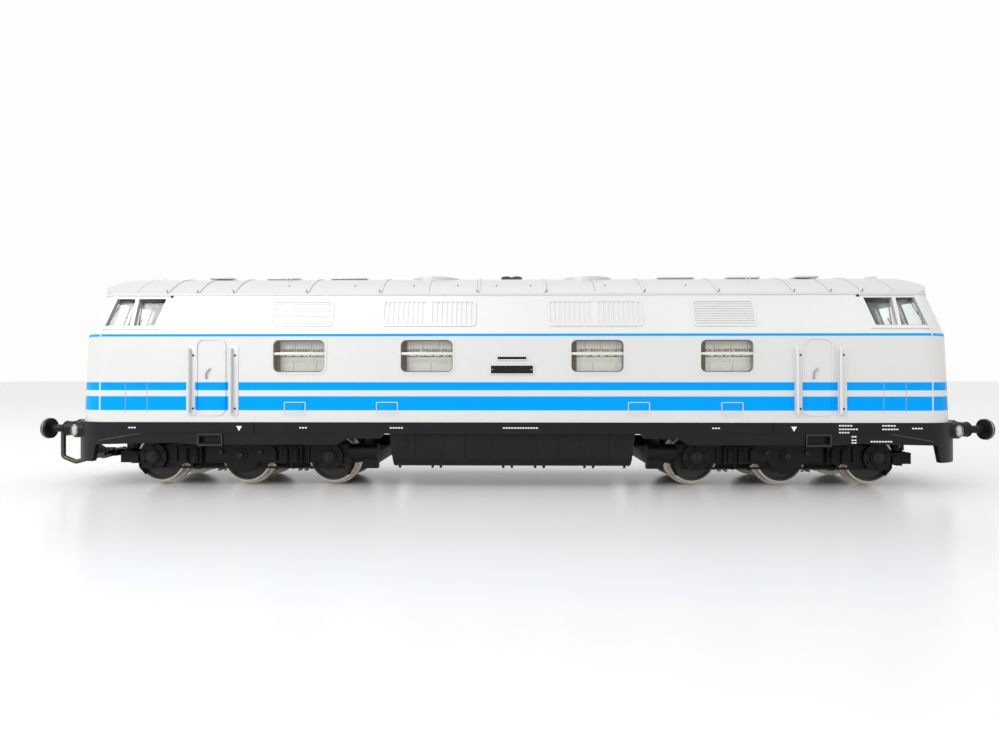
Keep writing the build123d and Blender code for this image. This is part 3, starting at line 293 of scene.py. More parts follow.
@dataclass(frozen=True)
class Livery(Finish):
    """Silver-grey paint with the azure stripes printed round the body."""

    silver: Colour = (0.72, 0.72, 0.705)
    azure: Colour = (0.0, 0.32, 0.86)
    lower_stripe: tuple[float, float] = (18.1, 21.3)
    upper_stripe: tuple[float, float] = (22.65, 24.5)
    belt_line: tuple[float, float] = (34.9, 35.5)
    # Share by which the roof above the gutter is darkened as painted shade.
    print_break: float = 94.2
    roof_dust: float = 0.14
    striped: bool = True

    def build(self, net: Net) -> bpy.types.Material:
        """Stripes by height, fine metal flakes, slight unevenness of the spray, and painted shade that
        darkens the roof above the gutter.

        Args:
            net: An empty net of this finish's name.

        Returns:
            The material.
        """
        x, _, z = net.axes()
        flakes = net.node("ShaderNodeTexVoronoi", sockets={"Vector": net.place(), "Scale": 9000.0},
                          output="Color")
        sparkle = net.node("ShaderNodeSeparateColor", sockets={0: flakes})
        spray = net.noise(900.0, 4.0)
        cloud = net.noise(45.0, 2.0)
        shade = 0.955 + sparkle * 0.05 + (cloud - 0.5) * 0.05
        # Painted shade: the roof above the gutter is made darker than the sides, standing in for the
        # weaker light that falls on it.
        shade = shade * (1 - z.rise(44.7, 45.5) * self.roof_dust)
        tint = net.node("ShaderNodeCombineColor", sockets={0: shade, 1: shade, 2: shade})
        paint = net.mix(1.0, self.silver, tint, "MULTIPLY")
        metallic: Number = 0.35
        varnish: Number = 0.05
        roughness = 0.40 + (spray - 0.5) * 0.14
        if self.striped:
            mask = z.band(*self.lower_stripe, 0.04).higher(z.band(*self.upper_stripe, 0.04))
            mask = mask.higher(z.band(*self.belt_line, 0.05))
            seam = abs(abs(x) - self.print_break)
            mask = mask * seam.rise(0.10, 0.22)
            blue = net.mix((cloud - 0.3).higher(0.0) * 0.5, self.azure, (0.0, 0.36, 0.93))
            paint = net.mix(mask, paint, blue)
            metallic = 0.35 - mask * 0.35
            varnish = 0.05 - mask * 0.05
            roughness = roughness - mask * 0.08
        grain = net.bump(spray + sparkle * 0.35, 0.00003, 0.35)
        return net.finish(Base_Color=paint, Metallic=metallic, Roughness=roughness, Normal=grain,
                          Specular_IOR_Level=0.04, Coat_Weight=varnish, Coat_Roughness=0.25)


@dataclass(frozen=True)
class Moulding(Finish):
    """Moulded plastic: a colour, a fine spark-eroded grain and a soft shine."""

    colour: Colour = (0.02, 0.02, 0.021)
    roughness: float = 0.42
    grain: float = 0.00002
    worn: Colour = (0.05, 0.05, 0.052)
    shine: float = 0.5

    def build(self, net: Net) -> bpy.types.Material:
        """Even colour with a mottled shine and the tool's grain.

        Args:
            net: An empty net of this finish's name.

        Returns:
            The material.
        """
        fine = net.noise(5200.0, 2.0)
        broad = net.noise(120.0, 3.0)
        rubbed = (broad - 0.55).higher(0.0) * 2.2
        colour = net.mix(rubbed.lower(0.6), self.colour, self.worn)
        roughness = self.roughness + (broad - 0.5) * 0.18 + (fine - 0.5) * 0.08
        return net.finish(Base_Color=colour, Roughness=roughness, Specular_IOR_Level=self.shine,
                          Normal=net.bump(fine + broad * 0.6, self.grain, 0.6))


@dataclass(frozen=True)
class TurnedMetal(Finish):
    """Bare metal with turning or drawing marks along one axis."""

    colour: Colour = (0.55, 0.55, 0.56)
    roughness: float = 0.28
    stretch: Point = (1.0, 30.0, 1.0)
    dull: Colour = (0.30, 0.29, 0.28)

    def build(self, net: Net) -> bpy.types.Material:
        """Streaks along the cut, patches of dulled metal.

        Args:
            net: An empty net of this finish's name.

        Returns:
            The material.
        """
        turned = net.node("ShaderNodeMapping", sockets={"Vector": net.place(), "Scale": self.stretch})
        marks = net.noise(900.0, 4.0, turned)
        patches = net.noise(260.0, 3.0)
        colour = net.mix((patches - 0.45).higher(0.0) * 1.4, self.colour, self.dull)
        roughness = self.roughness + (marks - 0.5) * 0.22 + (patches - 0.5) * 0.12
        return net.finish(Base_Color=colour, Metallic=1.0, Roughness=roughness,
                          Normal=net.bump(marks, 0.000012, 0.5))


@dataclass(frozen=True)
class WheelMetal(Finish):
    """Nickel-plated tread and flange round a black-painted disc."""

    centre_x: float = 0.0
    centre_z: float = 6.5
    face_radius: float = 5.35
    nickel: Colour = (0.50, 0.47, 0.40)
    black: Colour = (0.018, 0.018, 0.018)

    def build(self, net: Net) -> bpy.types.Material:
        """The radius from the axle splits plated rim from painted disc.

        Args:
            net: An empty net of this finish's name.

        Returns:
            The material.
        """
        x, y, z = net.axes()
        u, w = x - self.centre_x, z - self.centre_z
        radius = (u * u + w * w) ** 0.5
        painted = 1 - radius.rise(self.face_radius - 0.06, self.face_radius + 0.06)
        turning = net.node("ShaderNodeMath", {"operation": "SINE"}, {0: radius * 55.0})
        wear = net.noise(700.0, 4.0)
        plate = net.mix((wear - 0.4).higher(0.0) * 1.2, self.nickel, (0.30, 0.26, 0.20))
        colour = net.mix(painted, plate, self.black)
        roughness = 0.20 + painted * 0.28 + (wear - 0.5) * 0.16
        return net.finish(Base_Color=colour, Metallic=1 - painted, Roughness=roughness,
                          Normal=net.bump(turning * (1 - painted) + wear, 0.00001, 0.4))


@dataclass(frozen=True)
class ClearPlastic(Finish):
    """Clear moulded plastic with faint flow marks."""

    colour: Colour = (0.96, 0.98, 0.98)
    frosting: float = 0.02
    through: float = 1.0

    def build(self, net: Net) -> bpy.types.Material:
        """Transmission with a slightly uneven gloss.

        Args:
            net: An empty net of this finish's name.

        Returns:
            The material.
        """
        flow = net.noise(60.0, 2.0)
        return net.finish(Base_Color=self.colour, Roughness=self.frosting + flow * 0.05, IOR=1.49,
                          Transmission_Weight=self.through)


@dataclass(frozen=True)
class MachineCard(Finish):
    """A printed card with a simple picture of engine-room machinery, which glows faintly as painted
    light.
    """

    cream: Colour = (0.92, 0.885, 0.79)
    wall: Colour = (0.62, 0.58, 0.50)
    brown: Colour = (0.13, 0.085, 0.05)
    grey: Colour = (0.46, 0.44, 0.39)

    def build(self, net: Net) -> bpy.types.Material:
        """A shaded wall above, a rail of cylinder heads and cream covers below.

        Args:
            net: An empty net of this finish's name.

        Returns:
            The material.
        """
        x, _, z = net.axes()
        broken = net.noise(1500.0, 3.0)
        colour = net.mix(z.rise(31.9, 33.8) * 0.9, self.cream, self.wall)
        heads = (1 - abs((x / 0.62 % 1.0) - 0.5).rise(0.26, 0.42)) * z.band(31.6, 32.15, 0.1)
        rail = z.band(31.5, 31.72, 0.06).higher(z.band(30.25, 30.5, 0.07))
        knobs = (1 - abs((x / 1.9 % 1.0) - 0.5).rise(0.08, 0.14)) * z.band(30.3, 30.95, 0.08)
        dark = heads.higher(rail).higher(knobs) * (0.35 + broken.rise(0.34, 0.52) * 0.6)
        colour = net.mix(dark, colour, self.brown)
        posts = (1 - abs((x / 3.7 % 1.0) - 0.5).rise(0.015, 0.045)) * z.band(31.0, 35.0, 0.1)
        covers = (1 - abs((x / 5.3 % 1.0) - 0.5).rise(0.010, 0.03)) * z.band(25.0, 29.2, 0.1)
        ledge = z.band(29.1, 29.25, 0.05) * broken.rise(0.3, 0.6)
        colour = net.mix(posts.higher(covers).higher(ledge) * 0.6, colour, self.grey)
        stain = net.noise(330.0, 4.0).rise(0.55, 0.72) * 0.16
        print_colour = net.mix(stain, colour, self.grey)
        # Painted light: the card glows faintly in its own colours, standing in for light that reaches
        # it through the windows.
        return net.finish(Base_Color=print_colour, Roughness=0.62 + (broken - 0.5) * 0.1,
                          Emission_Color=print_colour, Emission_Strength=0.16,
                          Normal=net.bump(broken, 0.00001, 0.4))


@dataclass(frozen=True)
class CircuitMask(Finish):
    """Green solder mask with tinned tracks."""

    def build(self, net: Net) -> bpy.types.Material:
        """Tracks from stretched bands, pads from a grid of dots.

        Args:
            net: An empty net of this finish's name.

        Returns:
            The material.
        """
        x, y, _ = net.axes()
        track = 1 - abs((y / 2.2 % 1.0) - 0.5).rise(0.10, 0.16)
        gap = net.noise(90.0, 1.0).rise(0.40, 0.46)
        pad = 1 - (((x / 3.1 % 1.0) - 0.5) ** 2 + ((y / 3.1 % 1.0) - 0.5) ** 2).rise(0.02, 0.03)
        colour = net.mix(track * gap * 0.8, (0.012, 0.11, 0.045), (0.04, 0.24, 0.10))
        colour = net.mix(pad * 0.9, colour, (0.55, 0.55, 0.52))
        return net.finish(Base_Color=colour, Roughness=0.32 + pad * 0.1, Metallic=pad * 0.8,
                          Normal=net.bump(track + pad, 0.00003, 0.5))


LIVERY = Livery("silver livery with azure stripes")
SILVER = Livery("silver paint", striped=False)
BLACK = Moulding("black underframe moulding", (0.005, 0.007, 0.0075), 0.42, 0.00002,
                 (0.012, 0.014, 0.015), 0.22)
BOGIE_BLACK = Moulding("black side frame moulding", (0.004, 0.0045, 0.004), 0.5, 0.00002,
                       (0.01, 0.01, 0.01), 0.2)
PLATE_BLACK = Moulding("gloss black plate", (0.004, 0.004, 0.0045), 0.25, 0.000006,
                       (0.01, 0.01, 0.01), 0.3)
WHITE_PRINT = Moulding("white print", (0.82, 0.82, 0.80), 0.5, 0.000006, (0.7, 0.7, 0.69))
SEAL = Moulding("black window seal", (0.022, 0.022, 0.022), 0.55)
HOLE = Moulding("dark hole", (0.010, 0.010, 0.010), 0.7)
CAB_GREY = Moulding("grey cab moulding", (0.42, 0.43, 0.41), 0.55, 0.00002, (0.34, 0.35, 0.33))
EXHAUST = Moulding("sooty exhaust", (0.060, 0.058, 0.055), 0.7, 0.00004, (0.03, 0.03, 0.03))
ACETAL = Moulding("cream acetal gear", (0.72, 0.69, 0.60), 0.38, 0.00001, (0.62, 0.58, 0.47))
COMPONENT = Moulding("brown component", (0.16, 0.07, 0.035), 0.3, 0.00001, (0.22, 0.11, 0.05))
STEEL = TurnedMetal("ground steel")
CAN_STEEL = TurnedMetal("plated motor can", (0.50, 0.50, 0.50), 0.34, (30.0, 1.0, 1.0))
BRASS = TurnedMetal("turned brass", (0.80, 0.58, 0.26), 0.25, (30.0, 1.0, 1.0), (0.45, 0.30, 0.12))
BRONZE = TurnedMetal("phosphor bronze strip", (0.72, 0.42, 0.22), 0.3, (30.0, 1.0, 1.0),
                     (0.4, 0.22, 0.1))
ZINC = TurnedMetal("die-cast zinc", (0.30, 0.30, 0.31), 0.5, (3.0, 3.0, 3.0), (0.16, 0.16, 0.16))
DARK_WIRE = TurnedMetal("blackened wire", (0.10, 0.085, 0.075), 0.38, (1.0, 1.0, 1.0),
                        (0.05, 0.045, 0.04))
GREY_METAL = TurnedMetal("dull grey metal", (0.34, 0.34, 0.34), 0.4, (3.0, 3.0, 3.0), (0.2, 0.2, 0.2))
MIRROR = TurnedMetal("lamp reflector", (0.85, 0.85, 0.85), 0.15, (1.0, 1.0, 1.0), (0.7, 0.7, 0.7))
# Grey of the cab window seals, also used for the ring painted as shade inside each machine-room window.
SEAL_AND_SHADE_GREY = Moulding("grey window seal", (0.33, 0.32, 0.30), 0.55, 0.00001, (0.25, 0.24, 0.22))
# Dark grey of joints, hooks and screws, also used for the lines painted as shadow beside the roof
# seams.
JOINT_AND_SHADOW_GREY = Moulding("grey joint", (0.20, 0.20, 0.20), 0.6, 0.00001, (0.28, 0.28, 0.27))
PALE_JOINT = Moulding("pale joint", (0.36, 0.36, 0.35), 0.55, 0.00001, (0.42, 0.42, 0.41))
BEAD_GREY = Moulding("worn black edge", (0.022, 0.024, 0.025), 0.35, 0.00001, (0.06, 0.06, 0.06))
GLOSS_BLACK = Moulding("glossy black boss", (0.005, 0.005, 0.005), 0.3, 0.000006,
                       (0.01, 0.01, 0.01), 0.3)
# Dark brown of the strip painted as shadow at the left end of each machine-room window.
PAINTED_SHADOW_BROWN = Moulding("brown card edge", (0.20, 0.15, 0.11), 0.7, 0.00001, (0.30, 0.24, 0.18))
CLEAR = ClearPlastic("clear plastic")
FROSTED = ClearPlastic("frosted lamp lens", (0.93, 0.93, 0.90), 0.3, 0.45)
CARD = MachineCard("printed machine room card")
BOARD = CircuitMask("green circuit board")


# ----------------------------------------------------------- modelling bench

class Bench:
    """Makes one mesh object with Blender's own modelling operators."""

    def __init__(self, name: str) -> None:
        """Start work on a piece of this name."""
        self.name = name.replace(" ", "_")
        self.obj: bpy.types.Object | None = None

    @staticmethod
    def clear() -> None:
        """Deselect everything in object mode."""
        if bpy.context.mode != "OBJECT":
            bpy.ops.object.mode_set(mode="OBJECT")
        bpy.ops.object.select_all(action="DESELECT")

    def _adopt(self) -> "Bench":
        """Take the object that was just added and settle its place in its mesh.

        Returns:
            The bench.
        """
        made = bpy.context.active_object
        made.data.transform(made.matrix_world)
        made.matrix_world = Matrix.Identity(4)
        if self.obj is None:
            self.obj = made
            made.name = made.data.name = self.name
        else:
            self.clear()
            made.select_set(True)
            self.obj.select_set(True)
            bpy.context.view_layer.objects.active = self.obj
            bpy.ops.object.join()
        return self

    def box(self, centre: Point, size: Point) -> "Bench":
        """Add a box, sizes in millimetres.

        Args:
            centre: Its middle.
            size: Its length, width and height.

        Returns:
            The bench.
        """
        self.clear()
        bpy.ops.mesh.primitive_cube_add(size=MM, location=Vector(centre) * MM, scale=size)
        bpy.ops.object.transform_apply(location=False, rotation=False, scale=True)
        return self._adopt()

    def round(self, centre: Point, radius: float, depth: float, axis: Axis, sides: int = 32,
              top: float | None = None) -> "Bench":
        """Add a cylinder, or a cone when top gives its other radius.

        Args:
            centre: Its middle.
            radius: Its radius, or the cone's first one.
            depth: Its length along the axis.
            axis: The direction that it stands along.
            sides: How many sides it has.
            top: The cone's other radius, or None for a cylinder.

        Returns:
            The bench.
        """
        self.clear()
        if top is None:
            bpy.ops.mesh.primitive_cylinder_add(vertices=sides, radius=radius * MM,
                                                depth=depth * MM, location=Vector(centre) * MM,
                                                rotation=axis.value)
        else:
            bpy.ops.mesh.primitive_cone_add(vertices=sides, radius1=radius * MM, radius2=top * MM,
                                            depth=depth * MM, location=Vector(centre) * MM,
                                            rotation=axis.value)
        return self._adopt()

    def ring(self, centre: Point, radius: float, thick: float, axis: Axis, sides: int = 40) -> "Bench":
        """Add a torus.

        Args:
            centre: Its middle.
            radius: The radius of the circle that its wire follows.
            thick: The wire's radius.
            axis: The direction that it faces.
            sides: How many segments it has round the circle.

        Returns:
            The bench.
        """
        self.clear()
        bpy.ops.mesh.primitive_torus_add(major_radius=radius * MM, minor_radius=thick * MM,
                                         major_segments=sides, minor_segments=10,
                                         location=Vector(centre) * MM, rotation=axis.value)
        return self._adopt()

    def bar(self, start: Point, end: Point, width: float, depth: float) -> "Bench":
        """Add a square bar between two points, its width level where it can be.

        Args:
            start: The middle of one end.
            end: The middle of the other end.
            width: Its level side.
            depth: Its other side.

        Returns:
            The bench.
        """
        first, last = Vector(start) * MM, Vector(end) * MM
        turn = (last - first).to_track_quat("X", "Z").to_euler()
        self.clear()
        bpy.ops.mesh.primitive_cube_add(size=1.0, location=(first + last) / 2, rotation=turn)
        bpy.context.active_object.scale = ((last - first).length, width * MM, depth * MM)
        bpy.context.view_layer.update()
        return self._adopt()

    def rod(self, start: Point, end: Point, radius: float, sides: int = 16) -> "Bench":
        """Add a round rod between two points.

        Args:
            start: The middle of one end.
            end: The middle of the other end.
            radius: Its radius.
            sides: How many sides it has.

        Returns:
            The bench.
        """
        first, last = Vector(start) * MM, Vector(end) * MM
        turn = (last - first).to_track_quat("Z", "Y").to_euler()
        self.clear()
        bpy.ops.mesh.primitive_cylinder_add(vertices=sides, radius=radius * MM,
                                            depth=(last - first).length,
                                            location=(first + last) / 2, rotation=turn)
        return self._adopt()

    def rounded_frame(self, centre: Point, size: tuple[float, float], radius: float, width: float,
                      depth: float) -> "Bench":
        """Add an upright rounded frame that faces -Y.

        Args:
            centre: The middle of its back.
            size: Its outside length and height.
            radius: Its outside corner radius.
            width: The width of its border.
            depth: How far it stands out.

        Returns:
            The bench.
        """
        self.clear()
        bpy.ops.mesh.primitive_plane_add(size=MM, location=Vector(centre) * MM,
                                         rotation=(math.pi / 2, 0, 0))
        bpy.context.active_object.scale = (*size, 1.0)
        bpy.ops.object.transform_apply(location=False, rotation=False, scale=True)
        bpy.ops.object.mode_set(mode="EDIT")
        bpy.ops.mesh.select_all(action="SELECT")
        bpy.ops.mesh.bevel(offset=radius * MM, segments=6, affect="VERTICES")
        bpy.ops.mesh.select_all(action="SELECT")
        bpy.ops.mesh.inset(thickness=width * MM)
        bpy.ops.mesh.delete(type="FACE")
        bpy.ops.mesh.select_all(action="SELECT")
        self.extrude((0, -depth, 0))
        bpy.ops.object.mode_set(mode="OBJECT")
        return self._adopt()

    def ball(self, centre: Point, radius: float, flatten: Point = (1.0, 1.0, 1.0)) -> "Bench":
        """Add a sphere, which may be flattened.

        Args:
            centre: Its middle.
            radius: Its radius before flattening.
            flatten: Its scale along each axis.

        Returns:
            The bench.
        """
        self.clear()
        bpy.ops.mesh.primitive_uv_sphere_add(segments=20, ring_count=12, radius=radius * MM,
                                             location=Vector(centre) * MM, scale=flatten)
        return self._adopt()

    def edit(self, chosen: Callable[[Vector, Vector], bool]) -> "Bench":
        """Enter edit mode with the faces chosen by centre and normal, in millimetres.

        Args:
            chosen: Says from a face's centre and normal whether it is taken.

        Returns:
            The bench.
        """
        self.clear()
        self.obj.select_set(True)
        bpy.context.view_layer.objects.active = self.obj
        for face in self.obj.data.polygons:
            face.select = chosen(face.center / MM, face.normal)
        for item in list(self.obj.data.vertices) + list(self.obj.data.edges):
            item.select = False
        bpy.ops.object.mode_set(mode="EDIT")
        bpy.ops.mesh.select_mode(type="FACE")
        return self

    def all_faces(self) -> "Bench":
        """Enter edit mode with every face chosen.

        Returns:
            The bench.
        """
        self.edit(lambda centre, normal: True)
        bpy.ops.mesh.select_all(action="SELECT")
        return self

    def extrude(self, move: Point) -> "Bench":
        """Extrude the chosen faces by a move."""
        bpy.ops.mesh.extrude_region_move(TRANSFORM_OT_translate={"value": Vector(move) * MM})
        return self

    def shrink(self, factor: Point) -> "Bench":
        """Scale the chosen faces about their own middle."""
        bpy.ops.transform.resize(value=factor)
        return self

    def done(self) -> "Bench":
        """Leave edit mode."""
        bpy.ops.object.mode_set(mode="OBJECT")
        return self

    def modify(self, kind: str, **settings: Any) -> "Bench":
        """Add a modifier and apply it.

        Args:
            kind: The modifier's type.
            settings: Its settings by name.

        Returns:
            The bench.
        """
        self.clear()
        self.obj.select_set(True)
        bpy.context.view_layer.objects.active = self.obj
        modifier = self.obj.modifiers.new(kind.lower(), kind)
        for name, value in settings.items():
            setattr(modifier, name, value)
        bpy.ops.object.modifier_apply(modifier=modifier.name)
        return self

    def bevel(self, width: float, segments: int = 2, angle: float = 40.0) -> "Bench":
        """Round the sharp edges.

        Args:
            width: The width of the rounding.
            segments: How many steps it has.
            angle: The angle in degrees past which an edge counts as sharp.

        Returns:
            The bench.
        """
        return self.modify("BEVEL", width=width * MM, segments=segments, limit_method="ANGLE",
                           angle_limit=math.radians(angle), use_clamp_overlap=True)

    def turn(self, angle: float, axis: str, centre: Point) -> "Bench":
        """Turn the whole mesh about a point.

        Args:
            angle: The angle in radians.
            axis: X, Y or Z.
            centre: The point that stays.

        Returns:
            The bench.
        """
        about = Vector(centre) * MM
        turned = (Matrix.Translation(about) @ Matrix.Rotation(angle, 4, axis)
                  @ Matrix.Translation(-about))
        self.obj.data.transform(turned)
        return self

    def mirrored(self, x: bool = False, y: bool = False) -> "Bench":
        """Add the mirror image across the locomotive's middle planes.

        Args:
            x: Whether the other end gets a copy.
            y: Whether the other side gets a copy.

        Returns:
            The bench.
        """
        for across, plane in ((x, (True, False, False)), (y, (False, True, False))):
            if across:
                self.modify("MIRROR", use_axis=plane, use_mirror_merge=False)
        return self

    def copies(self, moves: Iterable[Point]) -> "Bench":
        """Replace the mesh by copies of itself, one at each move.

        Args:
            moves: How far each copy is moved.

        Returns:
            The bench.
        """
        made = []
        for move in moves:
            twin = self.obj.copy()
            twin.data = self.obj.data.copy()
            bpy.context.collection.objects.link(twin)
            twin.data.transform(Matrix.Translation(Vector(move) * MM))
            made.append(twin)
        self.clear()
        for twin in made:
            twin.select_set(True)
        bpy.context.view_layer.objects.active = made[0]
        if len(made) > 1:
            bpy.ops.object.join()
        bpy.data.objects.remove(self.obj)
        self.obj = made[0]
        self.obj.name = self.obj.data.name = self.name
        return self

    def ready(self, finish: Finish, body: str, slot: str, smooth: float = 35.0) -> bpy.types.Object:
        """Clean the mesh, dress it and let it ride.

        Args:
            finish: The piece's finish.
            body: The body that it moves with.
            slot: The record's material slot; not used.
            smooth: The angle in degrees below which edges are shaded smooth.

        Returns:
            The finished object.
        """
        self.all_faces()
        bpy.ops.mesh.normals_make_consistent(inside=False)
        self.done()
        self.clear()
        self.obj.select_set(True)
        bpy.context.view_layer.objects.active = self.obj
        bpy.ops.object.shade_smooth_by_angle(angle=math.radians(smooth))
        self.obj.data.materials.clear()
        self.obj.data.materials.append(finish.material())
        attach(self.obj, body)
        LOG.info("built %s on %s", self.name, body)
        return self.obj


class NodeBox:
    """The box of one CAD node, in millimetres."""

    def __init__(self, node: str) -> None:
        """Read the node's box.

        Args:
            node: The node's name.
        """
        low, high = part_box(node)
        self.low = Vector(low) / MM
        self.high = Vector(high) / MM
        self.mid = (self.low + self.high) / 2
        self.size = self.high - self.low


ROOT = "locomotive"


# --------------------------------------------------------------- carried-over

@dataclass
class CarriedNodes:
    """The CAD nodes that stay, each with its finish."""

    dressed: int = 0
    plain: dict[str, Finish] = field(default_factory=lambda: {
        "body_shell": LIVERY,
        "roof_fan_grilles": SILVER,
        "machine_room_windows": CLEAR,
        "machine_room_inserts": CARD,
        "lamp_lenses": FROSTED,
        "exhaust_stack": EXHAUST,
        "number_plates": PLATE_BLACK,
        "door_handrails": SILVER,
        "underframe": BLACK,
        "buffers": BLACK,
        "fuel_tank": BLACK,
        "chassis_block": ZINC,
        "motor_can": CAN_STEEL,
        "armature_shaft": STEEL,
        "flywheels": BRASS,
        "cardan_shafts": BLACK,
        "circuit_board": BOARD,
        "board_components": COMPONENT,
        "body_screws": STEEL,
        "coupler_shank": BOGIE_BLACK,
        "coupler_hoop": DARK_WIRE,
    })
    at_each_end: dict[str, Finish] = field(default_factory=lambda: {
        "cab_glazing": CLEAR,
        "cab_interior": CAB_GREY,
        "bogie_casting": BOGIE_BLACK,
        "gear_pins": STEEL,
        "bogie_keeper": BOGIE_BLACK,
        "side_frames": BOGIE_BLACK,
        "pickups": BRONZE,
        "worm": BRASS,
        "worm_wheel": ACETAL,
        "outer_idler": ACETAL,
        "inner_idler": ACETAL,
        "outer_axle_gear": ACETAL,
        "inner_axle_gear": ACETAL,
        "outer_axle": STEEL,
        "middle_axle": STEEL,
        "inner_axle": STEEL,
    })

    def dress(self, node: str, finish: Finish) -> None:
        """Give a CAD node its finish.

        Args:
            node: The node's name.
            finish: Its finish.
        """
        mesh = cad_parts[node].data
        mesh.materials.clear()
        mesh.materials.append(finish.material())
        self.dressed += 1

    def build(self) -> None:
        """Dress every node, the wheels by their own centres."""
        for node, finish in self.plain.items():
            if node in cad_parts:
                self.dress(node, finish)
        for end in End:
            for node, finish in self.at_each_end.items():
                self.dress(f"{end.label}_{node}", finish)
            for place in ("outer", "middle", "inner"):
                node = f"{end.label}_{place}_wheels"
                box = NodeBox(node)
                finish = WheelMetal(f"{end.label} {place} wheel metal",
                                    round(box.mid.x, 3), round(box.mid.z, 3))
                self.dress(node, finish)


# ------------------------------------------------------------- sub-assemblies

@dataclass(frozen=True)
class BodyForm:
    """Where the body's outer surface lies, from the shell's own box."""

    belt: float = 35.2
    gutter: float = 44.9
    side_lean: float = 3.4
    nose_lean: float = 0.9
    screen_lean: float = 3.7
    relief: float = 0.2

    @property
    def shell(self) -> NodeBox:
        """The shell's box."""
        return NodeBox("body_shell")

    def side(self, z: float) -> float:
        """Half the body's width at a height."""
        rise = min(max(z - self.belt, 0.0) / (self.gutter - self.belt), 1.0)
        return self.shell.high.y - self.relief - self.side_lean * rise

    def nose(self, z: float) -> float:
        """Half the body's length at a height, on the middle line.

        Args:
            z: The height.

        Returns:
            The half length there.
        """
        low, half = self.shell.low.z, self.shell.high.x
        if z <= self.belt:
            return half - self.nose_lean * (z - low) / (self.belt - low)
        return half - self.nose_lean - self.screen_lean * (z - self.belt) / (self.gutter - self.belt)

    def on_side(self, x: float, z: float, proud: float = 0.0) -> Point:
        """A point on the near side."""
        return (x, -self.side(z) - proud, z)


@dataclass
class SubAssembly:
    """A group of pieces on the body, with the body's form to place them by."""

    form: BodyForm = field(default_factory=BodyForm)

    def build(self) -> None:
        """Model the pieces."""
        raise NotImplementedError


@dataclass
class MachineRoomTrim(SubAssembly):
    """The bar across each machine-room window, a grey ring inside it painted as shade along the
    opening's edge, and a dark strip painted as shadow at the window's left end.
    """

    places: tuple[float, ...] = (-48.4, -19.3, 19.3, 48.4)
    length: float = 11.8
    height: float = 7.3
    middle: float = 30.4
    corner: float = 1.3
    bar_height: float = 0.62
    bar_lift: float = 0.55
    bar_behind: float = 0.42
    seal_behind: float = 1.12
    shade_behind: float = 1.22
    shade_width: float = 1.1

    def build(self) -> None:
        """Bars, painted shade rings and painted shadow strips on both sides."""
        side = self.form.side(self.middle)
        moves = [(x, 0, 0) for x in self.places]
        bars = Bench("machine room window bars")
        bars.box((0, -side + self.bar_behind, self.middle + self.bar_lift),
                 (self.length + 0.2, 0.5, self.bar_height))
        bars.bevel(0.12)
        bars.copies(moves).mirrored(y=True).ready(SILVER, ROOT, "silver_paint")
        # Painted shade: a grey ring just inside each opening stands in for the shade along the
        # opening's edge.
        seals = Bench("machine room window seals")
        seals.rounded_frame((0, -side + self.seal_behind, self.middle),
                            (self.length - 0.04, self.height - 0.04), self.corner, 0.2, 0.35)
        seals.copies(moves).mirrored(y=True).ready(SEAL_AND_SHADE_GREY, ROOT, "clear_plastic")
        # Painted shadow: a dark brown strip at the left end of each window stands in for the shade
        # inside the opening.
        shade = Bench("machine room end shades")
        shade.box((-self.length / 2 + 0.75, -side + self.shade_behind, self.middle),
                  (self.shade_width, 0.12, self.height - 0.7))
        shade.copies(moves).mirrored(y=True).ready(PAINTED_SHADOW_BROWN, ROOT, "printed_card")


@dataclass
class DoorFittings(SubAssembly):
    """Backing strips, fixing screws, levers and hinges of the cab doors."""

    door: float = 68.6
    rail_spacing: float = 9.6
    strip_low: float = 16.9
    strip_high: float = 32.6
    strip_width: float = 2.0
    strip_offset: float = 0.6
    screw_heights: tuple[float, float] = (18.5, 30.6)
    lever_low: float = 25.4
    lever_high: float = 26.6
    lever_x: float = -0.95
    lever_reach: float = 0.9
    lever_radius: float = 0.13
    lever_proud: float = 0.28
    hinge_heights: tuple[float, ...] = (19.6, 25.6, 31.6)
    hinge_x: float = 3.2

    def rails(self) -> list[Point]:
        """The moves that put a piece at each of the four strips of a side."""
        half = self.rail_spacing / 2
        return [(end.value * self.door + step, 0, 0) for end in End for step in (-half, half)]

    def doors(self) -> list[Point]:
        """The moves that put a piece at both doors of a side."""
        return [(end.value * self.door, 0, 0) for end in End]

    def build(self) -> None:
        """Strips, screws, levers and hinges on both sides."""
        self.strips()
        self.levers()

    def strips(self) -> None:
        """The strips behind the handrails, with their screws."""
        side = self.form.side(self.strip_low)
        height = self.strip_high - self.strip_low
        middle = (self.strip_high + self.strip_low) / 2
        strips = Bench("door handrail strips")
        strips.box((self.strip_offset, -side - 0.02, middle), (self.strip_width, 0.24, height))
        strips.bevel(0.08).copies(self.rails()).mirrored(y=True).ready(SILVER, ROOT, "silver_paint")
        screws = Bench("door strip screws")
        for z in self.screw_heights:
            screws.round((self.strip_offset + 0.25, -side - 0.16, z), 0.24, 0.16, Axis.Y, 16)
        screws.copies(self.rails()).mirrored(y=True).ready(HOLE, ROOT, "screw_steel")

    def levers(self) -> None:
        """The bent levers and the hinge barrels."""
        side = self.form.side(self.strip_low)
        foot = (self.lever_x, -side - self.lever_proud, self.lever_low)
        bend = (self.lever_x, -side - self.lever_proud, self.lever_high)
        tip = (self.lever_x + self.lever_reach, -side - self.lever_proud, self.lever_high + 1.0)
        levers = Bench("door levers")
        levers.rod(foot, bend, self.lever_radius).rod(bend, tip, self.lever_radius)
        levers.ball((self.lever_x, -side - 0.2, self.lever_low), 0.2)
        levers.copies(self.doors()).mirrored(y=True).ready(GREY_METAL, ROOT, "handrail_silver")
        hinges = Bench("door hinges")
        for z in self.hinge_heights:
            hinges.round((self.hinge_x, -side - 0.1, z), 0.16, 0.9, Axis.Z, 12)
        hinges.copies(self.doors()).mirrored(y=True).ready(LIVERY, ROOT, "silver_paint")


